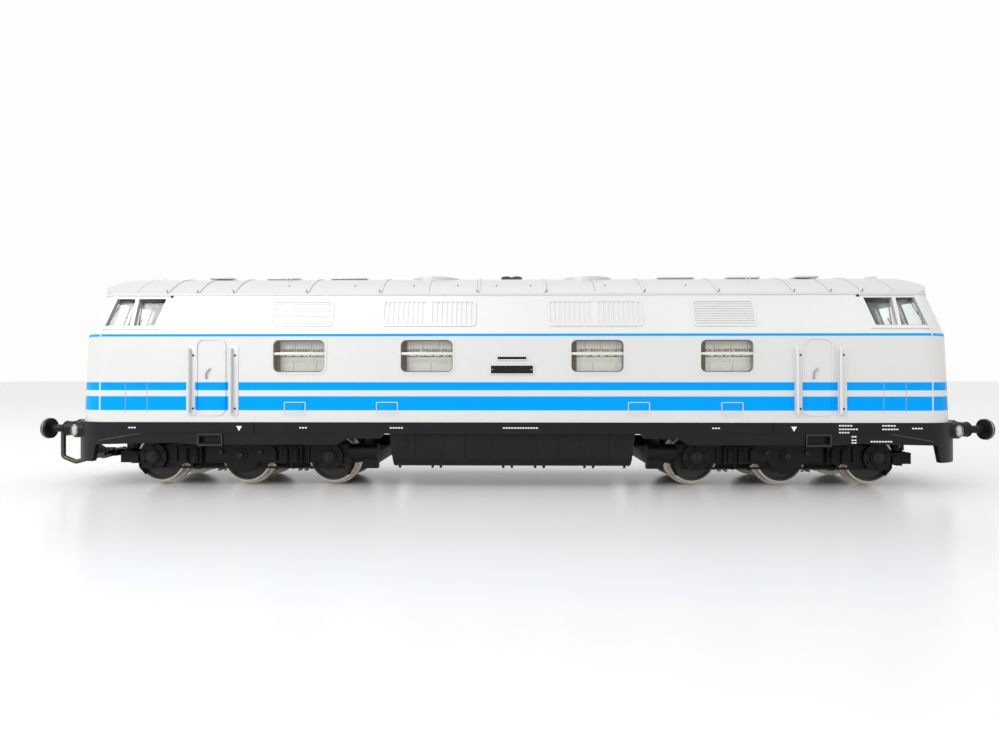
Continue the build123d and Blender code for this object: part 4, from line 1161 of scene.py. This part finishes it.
@dataclass
class SideHatches(SubAssembly):
    """Outlines of the small service hatches, silver as a painted highlight on their raised edges, and
    the fine joints of the nose.
    """

    places: tuple[float, ...] = (-49.3, -28.3, 28.6, 49.5)
    size: tuple[float, float] = (4.9, 3.1)
    middle: float = 18.45
    door_gap: float = 0.9
    joints: tuple[float, float] = (83.2, 88.2)
    joint_middle: float = 21.1
    joint_height: float = 7.0

    def build(self) -> None:
        """Hatch frames, their doors and the joint lines."""
        side = self.form.side(self.middle)
        moves = [(x, 0, 0) for x in self.places]
        # Painted highlight: the raised frames are plain silver on the blue stripe, standing in for
        # light catching their edges.
        highlight_frames = Bench("service hatch frames")
        highlight_frames.rounded_frame((0, -side + 0.05, self.middle), self.size, 0.25, 0.16, 0.17)
        highlight_frames.copies(moves).mirrored(y=True).ready(SILVER, ROOT, "silver_paint")
        doors = Bench("service hatch doors")
        doors.box((0, -side - 0.02, self.middle),
                  (self.size[0] - self.door_gap, 0.12, self.size[1] - self.door_gap)).bevel(0.04)
        doors.copies(moves).mirrored(y=True).ready(LIVERY, ROOT, "silver_paint")
        lines = Bench("nose joint lines")
        for x in self.joints:
            lines.box((x, -side, self.joint_middle), (0.08, 0.06, self.joint_height))
        lines.mirrored(x=True, y=True).ready(PALE_JOINT, ROOT, "silver_paint")


@dataclass
class CabTrim(SubAssembly):
    """Seals and ledge round the cab side windows."""

    low: float = 37.4
    high: float = 43.9
    rear: float = 80.4
    post: float = 87.3
    front: float = 93.6
    lean: float = 1.6
    half_post: float = 0.4
    seal_depth: float = 0.28
    seal_radius: float = 0.11
    sill_drop: float = 0.75
    drip_lift: float = 0.55
    dot: tuple[float, float] = (79.2, 44.35)

    def outlines(self) -> list[list[tuple[float, float]]]:
        """Corners of the two panes in X and Z.

        Returns:
            The rear pane's corners, then the front pane's.
        """
        behind = [(self.rear + self.lean, self.low), (self.post - self.half_post, self.low),
                  (self.post - self.half_post, self.high), (self.rear, self.high)]
        ahead = [(self.post + self.half_post, self.low), (self.front, self.low),
                 (self.front - self.lean, self.high), (self.post + self.half_post, self.high)]
        return [behind, ahead]

    def build(self) -> None:
        """Model all four cab sides at once by mirroring one."""
        seals = Bench("cab window seals")
        for outline in self.outlines():
            for (x0, z0), (x1, z1) in zip(outline, outline[1:] + outline[:1]):
                start = self.form.on_side(x0, z0, -self.seal_depth)
                seals.rod(start, self.form.on_side(x1, z1, -self.seal_depth), self.seal_radius, 10)
        seals.mirrored(x=True, y=True).ready(SEAL_AND_SHADE_GREY, ROOT, "clear_plastic")
        sill = self.low - self.sill_drop
        ledges = Bench("cab window ledges")
        ledges.bar(self.form.on_side(self.rear + 0.4, sill, 0.04),
                   self.form.on_side(self.front + 0.5, sill, 0.04), 0.32, 0.2)
        ledges.mirrored(x=True, y=True).ready(SILVER, ROOT, "silver_paint")
        eave = self.high + self.drip_lift
        drips = Bench("cab drip rails")
        drips.bar(self.form.on_side(self.rear - 0.6, eave, 0.03),
                  self.form.on_side(self.front - self.lean, eave, 0.03), 0.3, 0.2)
        drips.mirrored(x=True, y=True).ready(SILVER, ROOT, "silver_paint")
        marks = Bench("cab roof dots")
        marks.round(self.form.on_side(*self.dot, 0.05), 0.3, 0.3, Axis.Y, 16)
        marks.mirrored(x=True, y=True).ready(HOLE, ROOT, "screw_steel")


@dataclass
class WindscreenTrim(SubAssembly):
    """Seals, wipers and handrail of both windscreens."""

    inner: float = 0.6
    outer: float = 9.0
    low: float = 37.4
    high: float = 43.9
    seal_depth: float = 0.22
    wiper_pivot: float = 4.6
    wiper_tip: float = 6.6
    rail_ends: tuple[float, float] = (2.2, 9.4)
    rail_height: float = 35.9
    rail_proud: float = 0.55

    def at(self, y: float, z: float, proud: float) -> Point:
        """A point on the rear windscreen."""
        return (self.form.nose(z) + proud, y, z)

    def build(self) -> None:
        """One quarter, mirrored to both ends and sides."""
        seals = Bench("windscreen seals")
        corners = [(self.inner, self.low), (self.outer, self.low),
                   (self.outer, self.high), (self.inner, self.high)]
        for (y0, z0), (y1, z1) in zip(corners, corners[1:] + corners[:1]):
            seals.rod(self.at(y0, z0, -self.seal_depth), self.at(y1, z1, -self.seal_depth), 0.18, 10)
        seals.mirrored(x=True, y=True).ready(SEAL, ROOT, "clear_plastic")
        wipers = Bench("windscreen wipers")
        pivot = self.at(self.wiper_pivot, self.high + 0.2, 0.16)
        tip = self.at(self.wiper_tip, self.low + 2.1, 0.34)
        wipers.ball(pivot, 0.32).rod(pivot, tip, 0.12)
        wipers.rod(self.at(6.2, self.low + 0.6, 0.26), self.at(7.1, self.low + 3.9, 0.26), 0.1)
        wipers.mirrored(x=True, y=True).ready(SEAL, ROOT, "screw_steel")
        rails = Bench("nose handrails")
        near, far = self.rail_ends
        rails.rod(self.at(near, self.rail_height, self.rail_proud),
                  self.at(far, self.rail_height, self.rail_proud), 0.2)
        for y in (near + 0.3, far - 0.3):
            rails.rod(self.at(y, self.rail_height, -0.1), self.at(y, self.rail_height, 0.6), 0.16)
        rails.mirrored(x=True, y=True).ready(SILVER, ROOT, "handrail_silver")


@dataclass
class RoofDetails(SubAssembly):
    """Painted shadows beside the seams, fine joints and hooks, raised hatches, eyes, screws, horns and
    the exhaust's lips.
    """

    seams: tuple[float, ...] = (7.8, 30.6, 47.7, 65.0, 73.4, 80.6)
    fine_seams: tuple[float, ...] = (19.3, 88.0)
    hatches: tuple[tuple[Point, Point, float], ...] = (
        ((72.4, 0, 50.28), (5.6, 9.0, 0.5), 0.15),
        ((40.5, 0, 50.2), (9.0, 8.0, 0.42), 0.12),
        ((57.0, 0, 50.2), (8.0, 8.0, 0.42), 0.12))
    eyes: tuple[float, ...] = (-54.6, 57.2)
    eyes_across: float = 6.5
    screws: tuple[float, ...] = (-53.0, -37.2, -23.2, -12.8, -3.6, 4.4, 22.0, 41.0)
    screws_across: float = 10.6
    pipes: tuple[float, float] = (-1.3, 1.3)
    fan: float = 19.0
    horn: float = 88.6
    horns_across: float = 2.6
    crown: float = 50.2
    rise: float = 5.3

    def height(self, y: float) -> float:
        """The roof's height at a distance across.

        Args:
            y: The distance across from the middle.

        Returns:
            The height there.
        """
        half = self.form.side(self.form.gutter)
        radius = (half * half + self.rise * self.rise) / (2 * self.rise)
        return self.crown - radius + math.sqrt(radius * radius - y * y)

    def arc(self, piece: Bench, x: float, radius: float, lift: float, inner: float = 0.0) -> None:
        """Lay a rod over the roof from side to side.

        Args:
            piece: The bench that gets the rod.
            x: Its place along the roof.
            radius: Its radius.
            lift: Its height over the roof.
            inner: Half the gap in its middle.
        """
        reach, steps = 13.2, 12
        ways = [reach * (2 * n / steps - 1) for n in range(steps + 1)]
        for y0, y1 in zip(ways, ways[1:]):
            if abs(y0 + y1) / 2 >= inner:
                piece.rod((x, y0, self.height(y0) + lift), (x, y1, self.height(y1) + lift), radius, 8)

    def build(self) -> None:
        """Model the roof's small parts."""
        self.seam_lines()
        self.panels()
        self.outlets()

    def seam_lines(self) -> None:
        """A dark line painted as shadow beside each raised seam, dark lines at the fine joints, and the
        hook at each seam's foot.
        """
        joints = Bench("roof seam joints")
        # Painted shadow: a dark rod just beside each raised seam, on the side away from the key lamp.
        for x in self.seams:
            self.arc(joints, x + 0.32, 0.09, 0.03)
        for x in self.fine_seams:
            self.arc(joints, x, 0.06, 0.0, inner=7.5)
        joints.mirrored(x=True).ready(JOINT_AND_SHADOW_GREY, ROOT, "silver_paint")
        hooks = Bench("roof seam hooks")
        for x in self.seams:
            hooks.rod((x - 0.1, -13.75, 45.2), (x + 0.35, -13.2, 46.0), 0.15, 10)
            hooks.ball((x - 0.15, -13.85, 45.1), 0.26)
        hooks.mirrored(x=True, y=True).ready(JOINT_AND_SHADOW_GREY, ROOT, "silver_paint")

    def panels(self) -> None:
        """The raised hatches, the lifting eyes and the panel screws."""
        hatch = Bench("raised roof hatches")
        for centre, size, edge in self.hatches:
            hatch.box(centre, size).bevel(edge)
        hatch.mirrored(x=True).ready(SILVER, ROOT, "silver_paint")
        eyes = Bench("roof lifting eyes")
        for x in self.eyes:
            for y in (-self.eyes_across, self.eyes_across):
                eyes.ring((x, y, self.height(y) + 0.25), 0.42, 0.13, Axis.Y, 20)
        eyes.ready(SILVER, ROOT, "silver_paint")
        dots = Bench("roof panel screws")
        for x in self.screws:
            for y in (-self.screws_across, self.screws_across):
                dots.round((x, y, self.height(y) + 0.03), 0.2, 0.22, Axis.Z, 12)
        dots.ready(JOINT_AND_SHADOW_GREY, ROOT, "screw_steel")

    def outlets(self) -> None:
        """The exhaust's lips, the fans' hub caps and the horns."""
        lips = Bench("exhaust pipe lips")
        for x in self.pipes:
            lips.ring((x, 0, NodeBox("exhaust_stack").high.z - 0.12), 0.82, 0.12, Axis.Z, 28)
        lips.ready(EXHAUST, ROOT, "exhaust_black")
        caps = Bench("roof fan hub caps")
        grille_top = NodeBox("roof_fan_grilles").high.z
        for end in End:
            caps.round((end.value * self.fan, 0, grille_top - 0.15), 1.3, 0.4, Axis.Z, 32)
        caps.bevel(0.12).ready(SILVER, ROOT, "silver_paint")
        horns = Bench("roof horns")
        for y in (-self.horns_across, self.horns_across):
            horns.round((self.horn, y, 50.0), 0.35, 2.6, Axis.X, 20, top=0.75)
            horns.box((self.horn - 0.4, y, 49.5), (0.6, 0.5, 0.8))
        horns.mirrored(x=True).ready(SILVER, ROOT, "silver_paint")


@dataclass
class HeadLamps(SubAssembly):
    """Rims and reflectors of the lower lamps, the lamps on their flanks and the roof lamps' rims."""

    across: float = 13.8
    height: float = 13.4
    radius: float = 1.35
    marker_height: float = 46.7
    seat: float = 101.2
    seat_across: float = 15.4
    dome: tuple[float, float, float] = (0.62, 0.32, 1.0)
    roof_level: float = 40.0

    def build(self) -> None:
        """One corner, mirrored to all four."""
        face = NodeBox("lamp_lenses").high.x
        rims = Bench("lower lamp rims")
        rims.ring((face + 0.22, self.across, self.height), self.radius + 0.12, 0.2, Axis.X)
        rims.mirrored(x=True, y=True).ready(SILVER, ROOT, "handrail_silver")
        ovals = Bench("side lamp rims")
        ovals.ring((self.seat, self.seat_across + 0.12, self.height), 1.2, 0.17, Axis.Y)
        ovals.all_faces().shrink((0.66, 1.0, 1.0)).done()
        ovals.mirrored(x=True, y=True).ready(GREY_METAL, ROOT, "handrail_silver")
        domes = Bench("side lamp lenses")
        domes.ball((self.seat, self.seat_across, self.height), 1.15, self.dome)
        domes.mirrored(x=True, y=True).ready(FROSTED, ROOT, "clear_plastic")
        bowls = Bench("lower lamp reflectors")
        bowls.round((face - 3.25, self.across, self.height), self.radius - 0.1, 0.12, Axis.X, 32)
        bowls.mirrored(x=True, y=True).ready(MIRROR, ROOT, "screw_steel")
        marker = Bench("roof lamp rims")
        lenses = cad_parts["lamp_lenses"].data.vertices
        front = max(v.co.x for v in lenses if v.co.z > self.roof_level * MM) / MM
        marker.ring((front + 0.12, 0, self.marker_height), self.radius + 0.18, 0.24, Axis.X)
        marker.mirrored(x=True).ready(SILVER, ROOT, "silver_paint")


@dataclass
class PlateRims(SubAssembly):
    """Pale rims and corner rivets of the blank number plates."""

    low_plate: tuple[float, float, float] = (9.8, 2.1, 27.35)
    high_plate: tuple[float, float, float] = (6.8, 0.9, 29.95)

    def build(self) -> None:
        """Rims on both sides."""
        face = self.form.side(self.low_plate[2]) + 0.2
        rims = Bench("number plate rims")
        for length, height, z in (self.low_plate, self.high_plate):
            rims.rounded_frame((0, -face, z), (length, height), 0.15, 0.14, 0.06)
        rims.mirrored(y=True).ready(WHITE_PRINT, ROOT, "plate_black")
        rivets = Bench("number plate rivets")
        length, _, z = self.low_plate
        for x in (-length / 2 + 0.55, length / 2 - 0.55):
            rivets.ball((x, -face, z), 0.16, (1, 0.5, 1))
        rivets.mirrored(y=True).ready(GREY_METAL, ROOT, "screw_steel")


@dataclass
class FrameMarkings(SubAssembly):
    """Generic white marks on the band: triangles and rows of plain dashes."""

    height: float = 14.15
    triangles: tuple[float, float] = (-62.0, 63.2)
    short_rows: tuple[tuple[float, int], ...] = (
        (-87.2, 3), (-48.0, 3), (-27.4, 5), (45.2, 3), (89.6, 4))
    middle_row: tuple[float, int] = (-1.8, 13)
    dash: Point = (0.44, 0.05, 0.3)
    dash_pitch: float = 0.62
    step_reach: float = 0.3
    block_rows: tuple[tuple[float, float, int], ...] = (
        (73.4, 14.75, 5), (73.4, 13.95, 7), (73.4, 13.2, 4), (83.0, 14.75, 5), (83.0, 13.95, 6),
        (76.2, 12.3, 2), (76.2, 11.5, 2), (80.4, 11.2, 8), (76.2, 10.9, 2))

    def dashes(self, piece: Bench, x: float, z: float, count: int) -> None:
        """Add a row of plain dashes."""
        for step in range(count):
            piece.box((x + self.dash_pitch * step, -self.face(), z), self.dash)

    def face(self) -> float:
        """Where the marks lie, a hair proud of the band's face."""
        return NodeBox("underframe").high.y - self.step_reach + 0.02

    def both_sides(self, piece: Bench) -> None:
        """Give the far side the same marks, turned so that they read alike.

        Args:
            piece: The marks of the near side.
        """
        far = Bench(f"far {piece.name}")
        far.obj = piece.obj.copy()
        far.obj.data = piece.obj.data.copy()
        bpy.context.collection.objects.link(far.obj)
        far.obj.name = far.obj.data.name = far.name
        far.turn(math.pi, "Z", (0, 0, 0))
        for side in (piece, far):
            side.ready(WHITE_PRINT, ROOT, "frame_black")

    def build(self) -> None:
        """Marks on the near side, and the same ones seen from the far side."""
        arrows = Bench("frame arrows")
        middle = (0, -self.face(), self.height)
        arrows.round(middle, 0.75, 0.05, Axis.Y, 3).turn(math.pi, "Y", middle)
        arrows.copies([(x, 0, 0) for x in self.triangles])
        self.both_sides(arrows)
        marks = Bench("frame marks")
        for x, count in (*self.short_rows, self.middle_row):
            self.dashes(marks, x, self.height, count)
        for x, z, count in self.block_rows:
            self.dashes(marks, x, z, count)
        self.both_sides(marks)


@dataclass
class FrameDetails(SubAssembly):
    """Beads, step treads and rims and rivets of the frame, and the tank's straps and cap."""

    door: float = 68.6
    face: float = 17.5
    corner: float = 84.4
    bead_height: float = 12.95
    step_height: float = 10.55
    grips: tuple[float, ...] = (-1.5, -0.5, 0.5, 1.5)
    rivets: int = 9
    first_rivet: float = 42.0
    rivet_pitch: float = 2.1
    straps: tuple[float, float] = (5.2, 16.2)
    strap_face: float = 16.33
    cap: tuple[float, float] = (24.6, 10.6)

    def build(self) -> None:
        """One corner, mirrored to all four."""
        side = self.face
        beads = Bench("frame corner beads")
        beads.bar((self.corner, -side - 0.05, 12.9), (94.2, -side + 0.05, 11.2), 0.2, 0.28)
        beads.bar((60.8, -side - 0.04, self.bead_height),
                  (self.corner, -side - 0.04, self.bead_height), 0.16, 0.2)
        beads.mirrored(x=True, y=True).ready(BEAD_GREY, ROOT, "frame_black")
        treads = Bench("door step treads")
        treads.box((self.door, -side + 0.05, self.step_height), (4.6, 0.7, 0.28)).bevel(0.06)
        for x in self.grips:
            treads.box((self.door + x, -side + 0.05, self.step_height + 0.17), (0.35, 0.6, 0.1))
        treads.mirrored(x=True, y=True).ready(BLACK, ROOT, "frame_black")
        rims = Bench("door step rims")
        rims.rounded_frame((self.door, -side - 0.28, self.step_height + 0.9),
                           (5.7, 2.7), 0.2, 0.22, 0.06)
        rims.mirrored(x=True, y=True).ready(BEAD_GREY, ROOT, "frame_black")
        bolts = Bench("frame rivets")
        for step in range(self.rivets):
            bolts.ball((self.first_rivet + self.rivet_pitch * step, -side, 14.9), 0.14, (1, 0.6, 1))
        bolts.mirrored(x=True, y=True).ready(BLACK, ROOT, "frame_black")
        straps = Bench("tank straps and caps")
        for x in self.straps:
            straps.box((x, -self.strap_face, 9.4), (0.7, 0.14, 6.2)).bevel(0.05)
        x, z = self.cap
        straps.round((x, -self.strap_face - 0.07, z), 1.0, 0.4, Axis.Y, 28)
        straps.round((x, -self.strap_face - 0.32, z), 0.55, 0.3, Axis.Y, 6)
        straps.mirrored(x=True, y=True).ready(BLACK, ROOT, "frame_black")


@dataclass
class BufferDetails(SubAssembly):
    """Plate bolts, collar rings and the edges of the buffers' heads."""

    across: float = 10.05
    height: float = 13.4
    plate: float = 103.65
    collar: float = 104.6
    head: float = 111.2
    bolt_circle: float = 1.85

    def build(self) -> None:
        """One buffer, mirrored to all four."""
        front = NodeBox("underframe").high.x
        bolts = Bench("buffer plate bolts")
        for angle in (45, 135, 225, 315):
            turn = math.radians(angle)
            y = self.across + self.bolt_circle * math.cos(turn)
            bolts.ball((self.plate, y, self.height + self.bolt_circle * math.sin(turn)), 0.24)
        bolts.mirrored(x=True, y=True).ready(BLACK, ROOT, "frame_black")
        rings = Bench("buffer housing rings")
        rings.ring((front - 0.25, self.across, self.height), 1.62, 0.2, Axis.X)
        rings.ring((self.collar, self.across, self.height), 1.68, 0.16, Axis.X)
        rings.mirrored(x=True, y=True).ready(BLACK, ROOT, "frame_black")
        edge = Bench("buffer head edges")
        edge.ring((self.head, self.across, self.height), 2.36, 0.14, Axis.X)
        edge.mirrored(x=True, y=True).ready(GREY_METAL, ROOT, "frame_black")


@dataclass
class BogieDetails:
    """Coil springs, caps, brake gear and bolts outside one bogie."""

    end: End
    pivot: float = 63.2
    pitch: float = 20.7
    face: float = 13.8
    axle_height: float = 7.1
    wheel_centre: float = 6.5
    wheel_radius: float = 5.75
    spring_turns: int = 5
    spring_low: float = 6.3
    spring_rise: float = 0.62
    bolt_circle: float = 2.35
    hanger_across: float = 10.6
    ribs_at: tuple[float, ...] = (-15.6, -6.0, 6.0, 15.6)
    pins_at: tuple[float, float] = (-4.6, 4.6)
    sand_pipe: float = 25.3
    sand_across: float = 11.0
    pipe_bend: float = 4.4
    rod_reach: float = 24.0
    rod_across: float = 12.6
    rod_height: float = 4.5
    drops_at: tuple[float, ...] = (-17.5, -3.6, 3.6, 17.5)

    @property
    def body(self) -> str:
        """The bogie's body."""
        return f"{self.end.label}_bogie"

    @property
    def centre(self) -> float:
        """The bogie's pivot along X."""
        return self.end.value * self.pivot

    def bench(self, name: str) -> Bench:
        """A new piece named for this bogie."""
        return Bench(f"{self.end.label} {name}")

    def finish(self, piece: Bench, finish: Finish, slot: str) -> None:
        """Copy the near side's piece to the far side and finish it.

        Args:
            piece: The near side's piece.
            finish: Its finish.
            slot: The record's material slot, handed on to ready.
        """
        piece.mirrored(y=True).ready(finish, self.body, slot)

    def build(self) -> None:
        """Model every piece of the bogie's outside."""
        self.springs()
        self.axle_boxes()
        self.brakes()
        self.mouldings()
        self.pipes_and_rods()

    def springs(self) -> None:
        """Two coil springs at each suspension point."""
        springs = self.bench("coil springs")
        for u in (-self.pitch / 2 - 1.4, self.pitch / 2 + 1.4):
            for step in (-1.2, 1.2):
                for turn in range(self.spring_turns):
                    z = self.spring_low + self.spring_rise * turn
                    springs.ring((self.centre + u + step, -self.face, z), 0.78, 0.15, Axis.Z, 20)
        self.finish(springs, BOGIE_BLACK, "side_frame_black")

    def axle_boxes(self) -> None:
        """The outer axle boxes' caps and their rings of bolts."""
        caps = self.bench("axle box caps")
        bolts = self.bench("axle box bolts")
        for u in (-self.pitch, self.pitch):
            caps.round((self.centre + u, -self.face - 0.2, self.axle_height), 1.25, 0.35, Axis.Y, 32)
            for angle in range(0, 360, 60):
                turn = math.radians(angle + 30)
                x = self.centre + u + self.bolt_circle * math.cos(turn)
                z = self.axle_height + self.bolt_circle * math.sin(turn)
                bolts.round((x, -self.face + 0.02, z), 0.26, 0.5, Axis.Y, 6)
        caps.bevel(0.1)
        for u in (-self.pitch, self.pitch):
            caps.ball((self.centre + u, -self.face - 0.36, self.axle_height), 0.55, (1, 0.45, 1))
        self.finish(caps, GLOSS_BLACK, "side_frame_black")
        self.finish(bolts, BOGIE_BLACK, "side_frame_black")

    def brakes(self) -> None:
        """A shoe and a hanger beside each wheel, where the bogie's end leaves room."""
        shoes = self.bench("brake shoes")
        hangers = self.bench("brake hangers")
        reach = self.wheel_radius + 1.15
        for u in (-self.pitch, 0.0, self.pitch):
            for way in (-1, 1):
                if abs(u + way * reach) > self.pitch + 5.0 and way * u * self.end.value < 0:
                    continue
                x = self.centre + u + way * reach
                shoes.box((x, -9.0, self.wheel_centre - 0.2), (0.75, 2.2, 3.0))
                hangers.rod((x + way * 0.3, -self.hanger_across, self.wheel_centre + 2.6),
                            (x + way * 0.3, -self.hanger_across, self.wheel_centre - 1.6), 0.3, 10)
        shoes.bevel(0.15)
        self.finish(shoes, BOGIE_BLACK, "bogie_black")
        self.finish(hangers, BOGIE_BLACK, "bogie_black")

    def mouldings(self) -> None:
        """Ribs and pins on the side frames."""
        ribs = self.bench("side frame ribs")
        for u in self.ribs_at:
            ribs.box((self.centre + u, -12.85, 7.6), (0.5, 0.7, 3.4))
        for way in (-1, 1):
            ribs.bar((self.centre + way * 9.0, -12.95, 9.45),
                     (self.centre + way * 4.4, -14.1, 9.9), 0.3, 0.3)
        self.finish(ribs, BOGIE_BLACK, "side_frame_black")
        links = self.bench("equaliser pins")
        for u in self.pins_at:
            links.round((self.centre + u, -13.85, 8.2), 0.55, 0.5, Axis.Y, 20)
        links.round((self.centre, -14.2, 7.5), 0.8, 0.4, Axis.Y, 6)
        self.finish(links, GLOSS_BLACK, "side_frame_black")

    def pipes_and_rods(self) -> None:
        """The sand pipes at the bogie's ends and the brake rod with its drops."""
        pipes = self.bench("sand pipes")
        for way in (-1, 1):
            x, y = self.centre + way * self.sand_pipe, -self.sand_across
            pipes.rod((x, y, 8.6), (x, y, self.pipe_bend), 0.32, 12)
            pipes.rod((x, y, self.pipe_bend), (x - way * 1.0, y + 0.8, 2.6), 0.32, 12)
        self.finish(pipes, BOGIE_BLACK, "bogie_black")
        rods = self.bench("brake rods")
        y = -self.rod_across
        rods.rod((self.centre - self.rod_reach, y, self.rod_height),
                 (self.centre + self.rod_reach, y, self.rod_height), 0.28, 12)
        for u in self.drops_at:
            rods.rod((self.centre + u, y, self.rod_height - 0.1),
                     (self.centre + u, y, self.rod_height + 1.7), 0.3, 10)
        self.finish(rods, BOGIE_BLACK, "side_frame_black")


@dataclass
class CouplerDetails:
    """Rivet heads of the coupler and a rib on its shank."""

    pivot: float = -95.6
    hinge: float = -100.6
    top: float = 7.5

    def build(self) -> None:
        """Model the rivets."""
        rivets = Bench("coupler hinge rivets")
        for y in (-2.3, 2.3):
            rivets.ball((self.hinge, y, self.top), 0.5, (1, 1, 0.5))
        rivets.ready(GREY_METAL, "coupler", "coupler_black")
        ribs = Bench("coupler shank rib")
        ribs.box((-103.6, 0, self.top), (4.2, 0.8, 0.5)).bevel(0.12)
        ribs.ready(BOGIE_BLACK, "coupler", "coupler_black")


@dataclass
class CabFittings:
    """Plain dials on the desk in each cab."""

    desk: float = 90.5

    def build(self) -> None:
        """Model both cabs by mirroring one."""
        dials = Bench("desk dials")
        for y in (-4.4, -3.0, -1.6):
            dials.round((self.desk, y, 36.4), 0.5, 0.3, Axis.X, 20)
        dials.mirrored(x=True, y=True).ready(SEAL, ROOT, "cab_grey")


# ------------------------------------------------------------------- studio

@dataclass
class Studio:
    """Pale floor, soft light and the camera at the model's side."""

    camera_place: Point = (-0.5, -159.4, 25.3)
    yaw: float = -0.93
    pitch: float = 0.33
    lens: float = 22.64
    sensor: float = 36.0

    def build(self) -> None:
        """Build the floor, the backdrop's light, the lamps and the camera."""
        self.floor()
        self.light()
        self.camera()

    def floor(self) -> None:
        """A glossy pale tabletop, far wider than the model."""
        table = Bench("tabletop")
        table.box((0, 2000, -5.0), (8000, 8000, 10.0))
        table.bevel(2.0)
        net = Net("pale tabletop")
        finish = net.finish(Base_Color=(0.73, 0.73, 0.725), Roughness=0.27, Specular_IOR_Level=0.35,
                            Coat_Weight=0.08, Coat_Roughness=0.15)
        table.obj.data.materials.append(finish)

    @staticmethod
    def panel(name: str, place: Point, aim: Point, size: Point, power: float) -> None:
        """Add a soft rectangular lamp.

        Args:
            name: The lamp's name.
            place: Where it stands, in millimetres.
            aim: What it points at, in millimetres.
            size: Its width and height in millimetres, and its share of blue in the third value.
            power: Its power in watts.
        """
        Bench.clear()
        bpy.ops.object.light_add(type="AREA", location=Vector(place) * MM)
        lamp = bpy.context.active_object
        lamp.name = name
        lamp.data.shape = "RECTANGLE"
        lamp.data.size, lamp.data.size_y = size[0] * MM, size[1] * MM
        lamp.data.energy = power
        lamp.data.color = (1.0, 1.0 - 0.02 * size[2], 1.0 - 0.05 * size[2])
        direction = (Vector(aim) - Vector(place)) * MM
        lamp.rotation_euler = direction.to_track_quat("-Z", "Y").to_euler()

    def light(self) -> None:
        """A bright even surround and three soft panels."""
        world = bpy.data.worlds.new("white surround")
        world.use_nodes = True
        background = world.node_tree.nodes["Background"]
        background.inputs["Color"].default_value = (0.985, 0.985, 0.985, 1.0)
        background.inputs["Strength"].default_value = 1.0
        bpy.context.scene.world = world
        bpy.context.scene.view_settings.view_transform = "Standard"
        self.panel("key panel", (-300, -300, 300), (-40, 0, 25), (300, 240, 0.0), 1.25)
        self.panel("fill panel", (330, -330, 260), (20, 0, 25), (320, 260, 0.3), 0.1)
        self.panel("top panel", (0, 60, 460), (0, 0, 30), (600, 300, 0.0), 0.3)

    def camera(self) -> None:
        """The camera stands low beside the locomotive."""
        Bench.clear()
        turn = (math.radians(90 + self.pitch), 0.0, math.radians(-self.yaw))
        bpy.ops.object.camera_add(location=Vector(self.camera_place) * MM, rotation=turn)
        camera = bpy.context.active_object
        camera.name = "camera"
        camera.data.lens = self.lens
        camera.data.sensor_width = self.sensor
        camera.data.clip_start = 0.005
        bpy.context.scene.camera = camera


def main() -> None:
    """Build every sub-assembly in order and report each."""
    logging.basicConfig(level=logging.INFO, format="%(message)s")
    nodes = CarriedNodes()
    nodes.build()
    LOG.info("dressed %d frame nodes", nodes.dressed)
    for part in (MachineRoomTrim(), DoorFittings(), SideHatches(), CabTrim(), WindscreenTrim(),
                 RoofDetails(), HeadLamps(), PlateRims(), FrameMarkings(), FrameDetails(),
                 BufferDetails(), *(BogieDetails(end) for end in End), CouplerDetails(), CabFittings()):
        part.build()
        LOG.info("finished %s", type(part).__name__)
    Studio().build()
    LOG.info("studio ready")


if __name__ == "__main__":
    main()
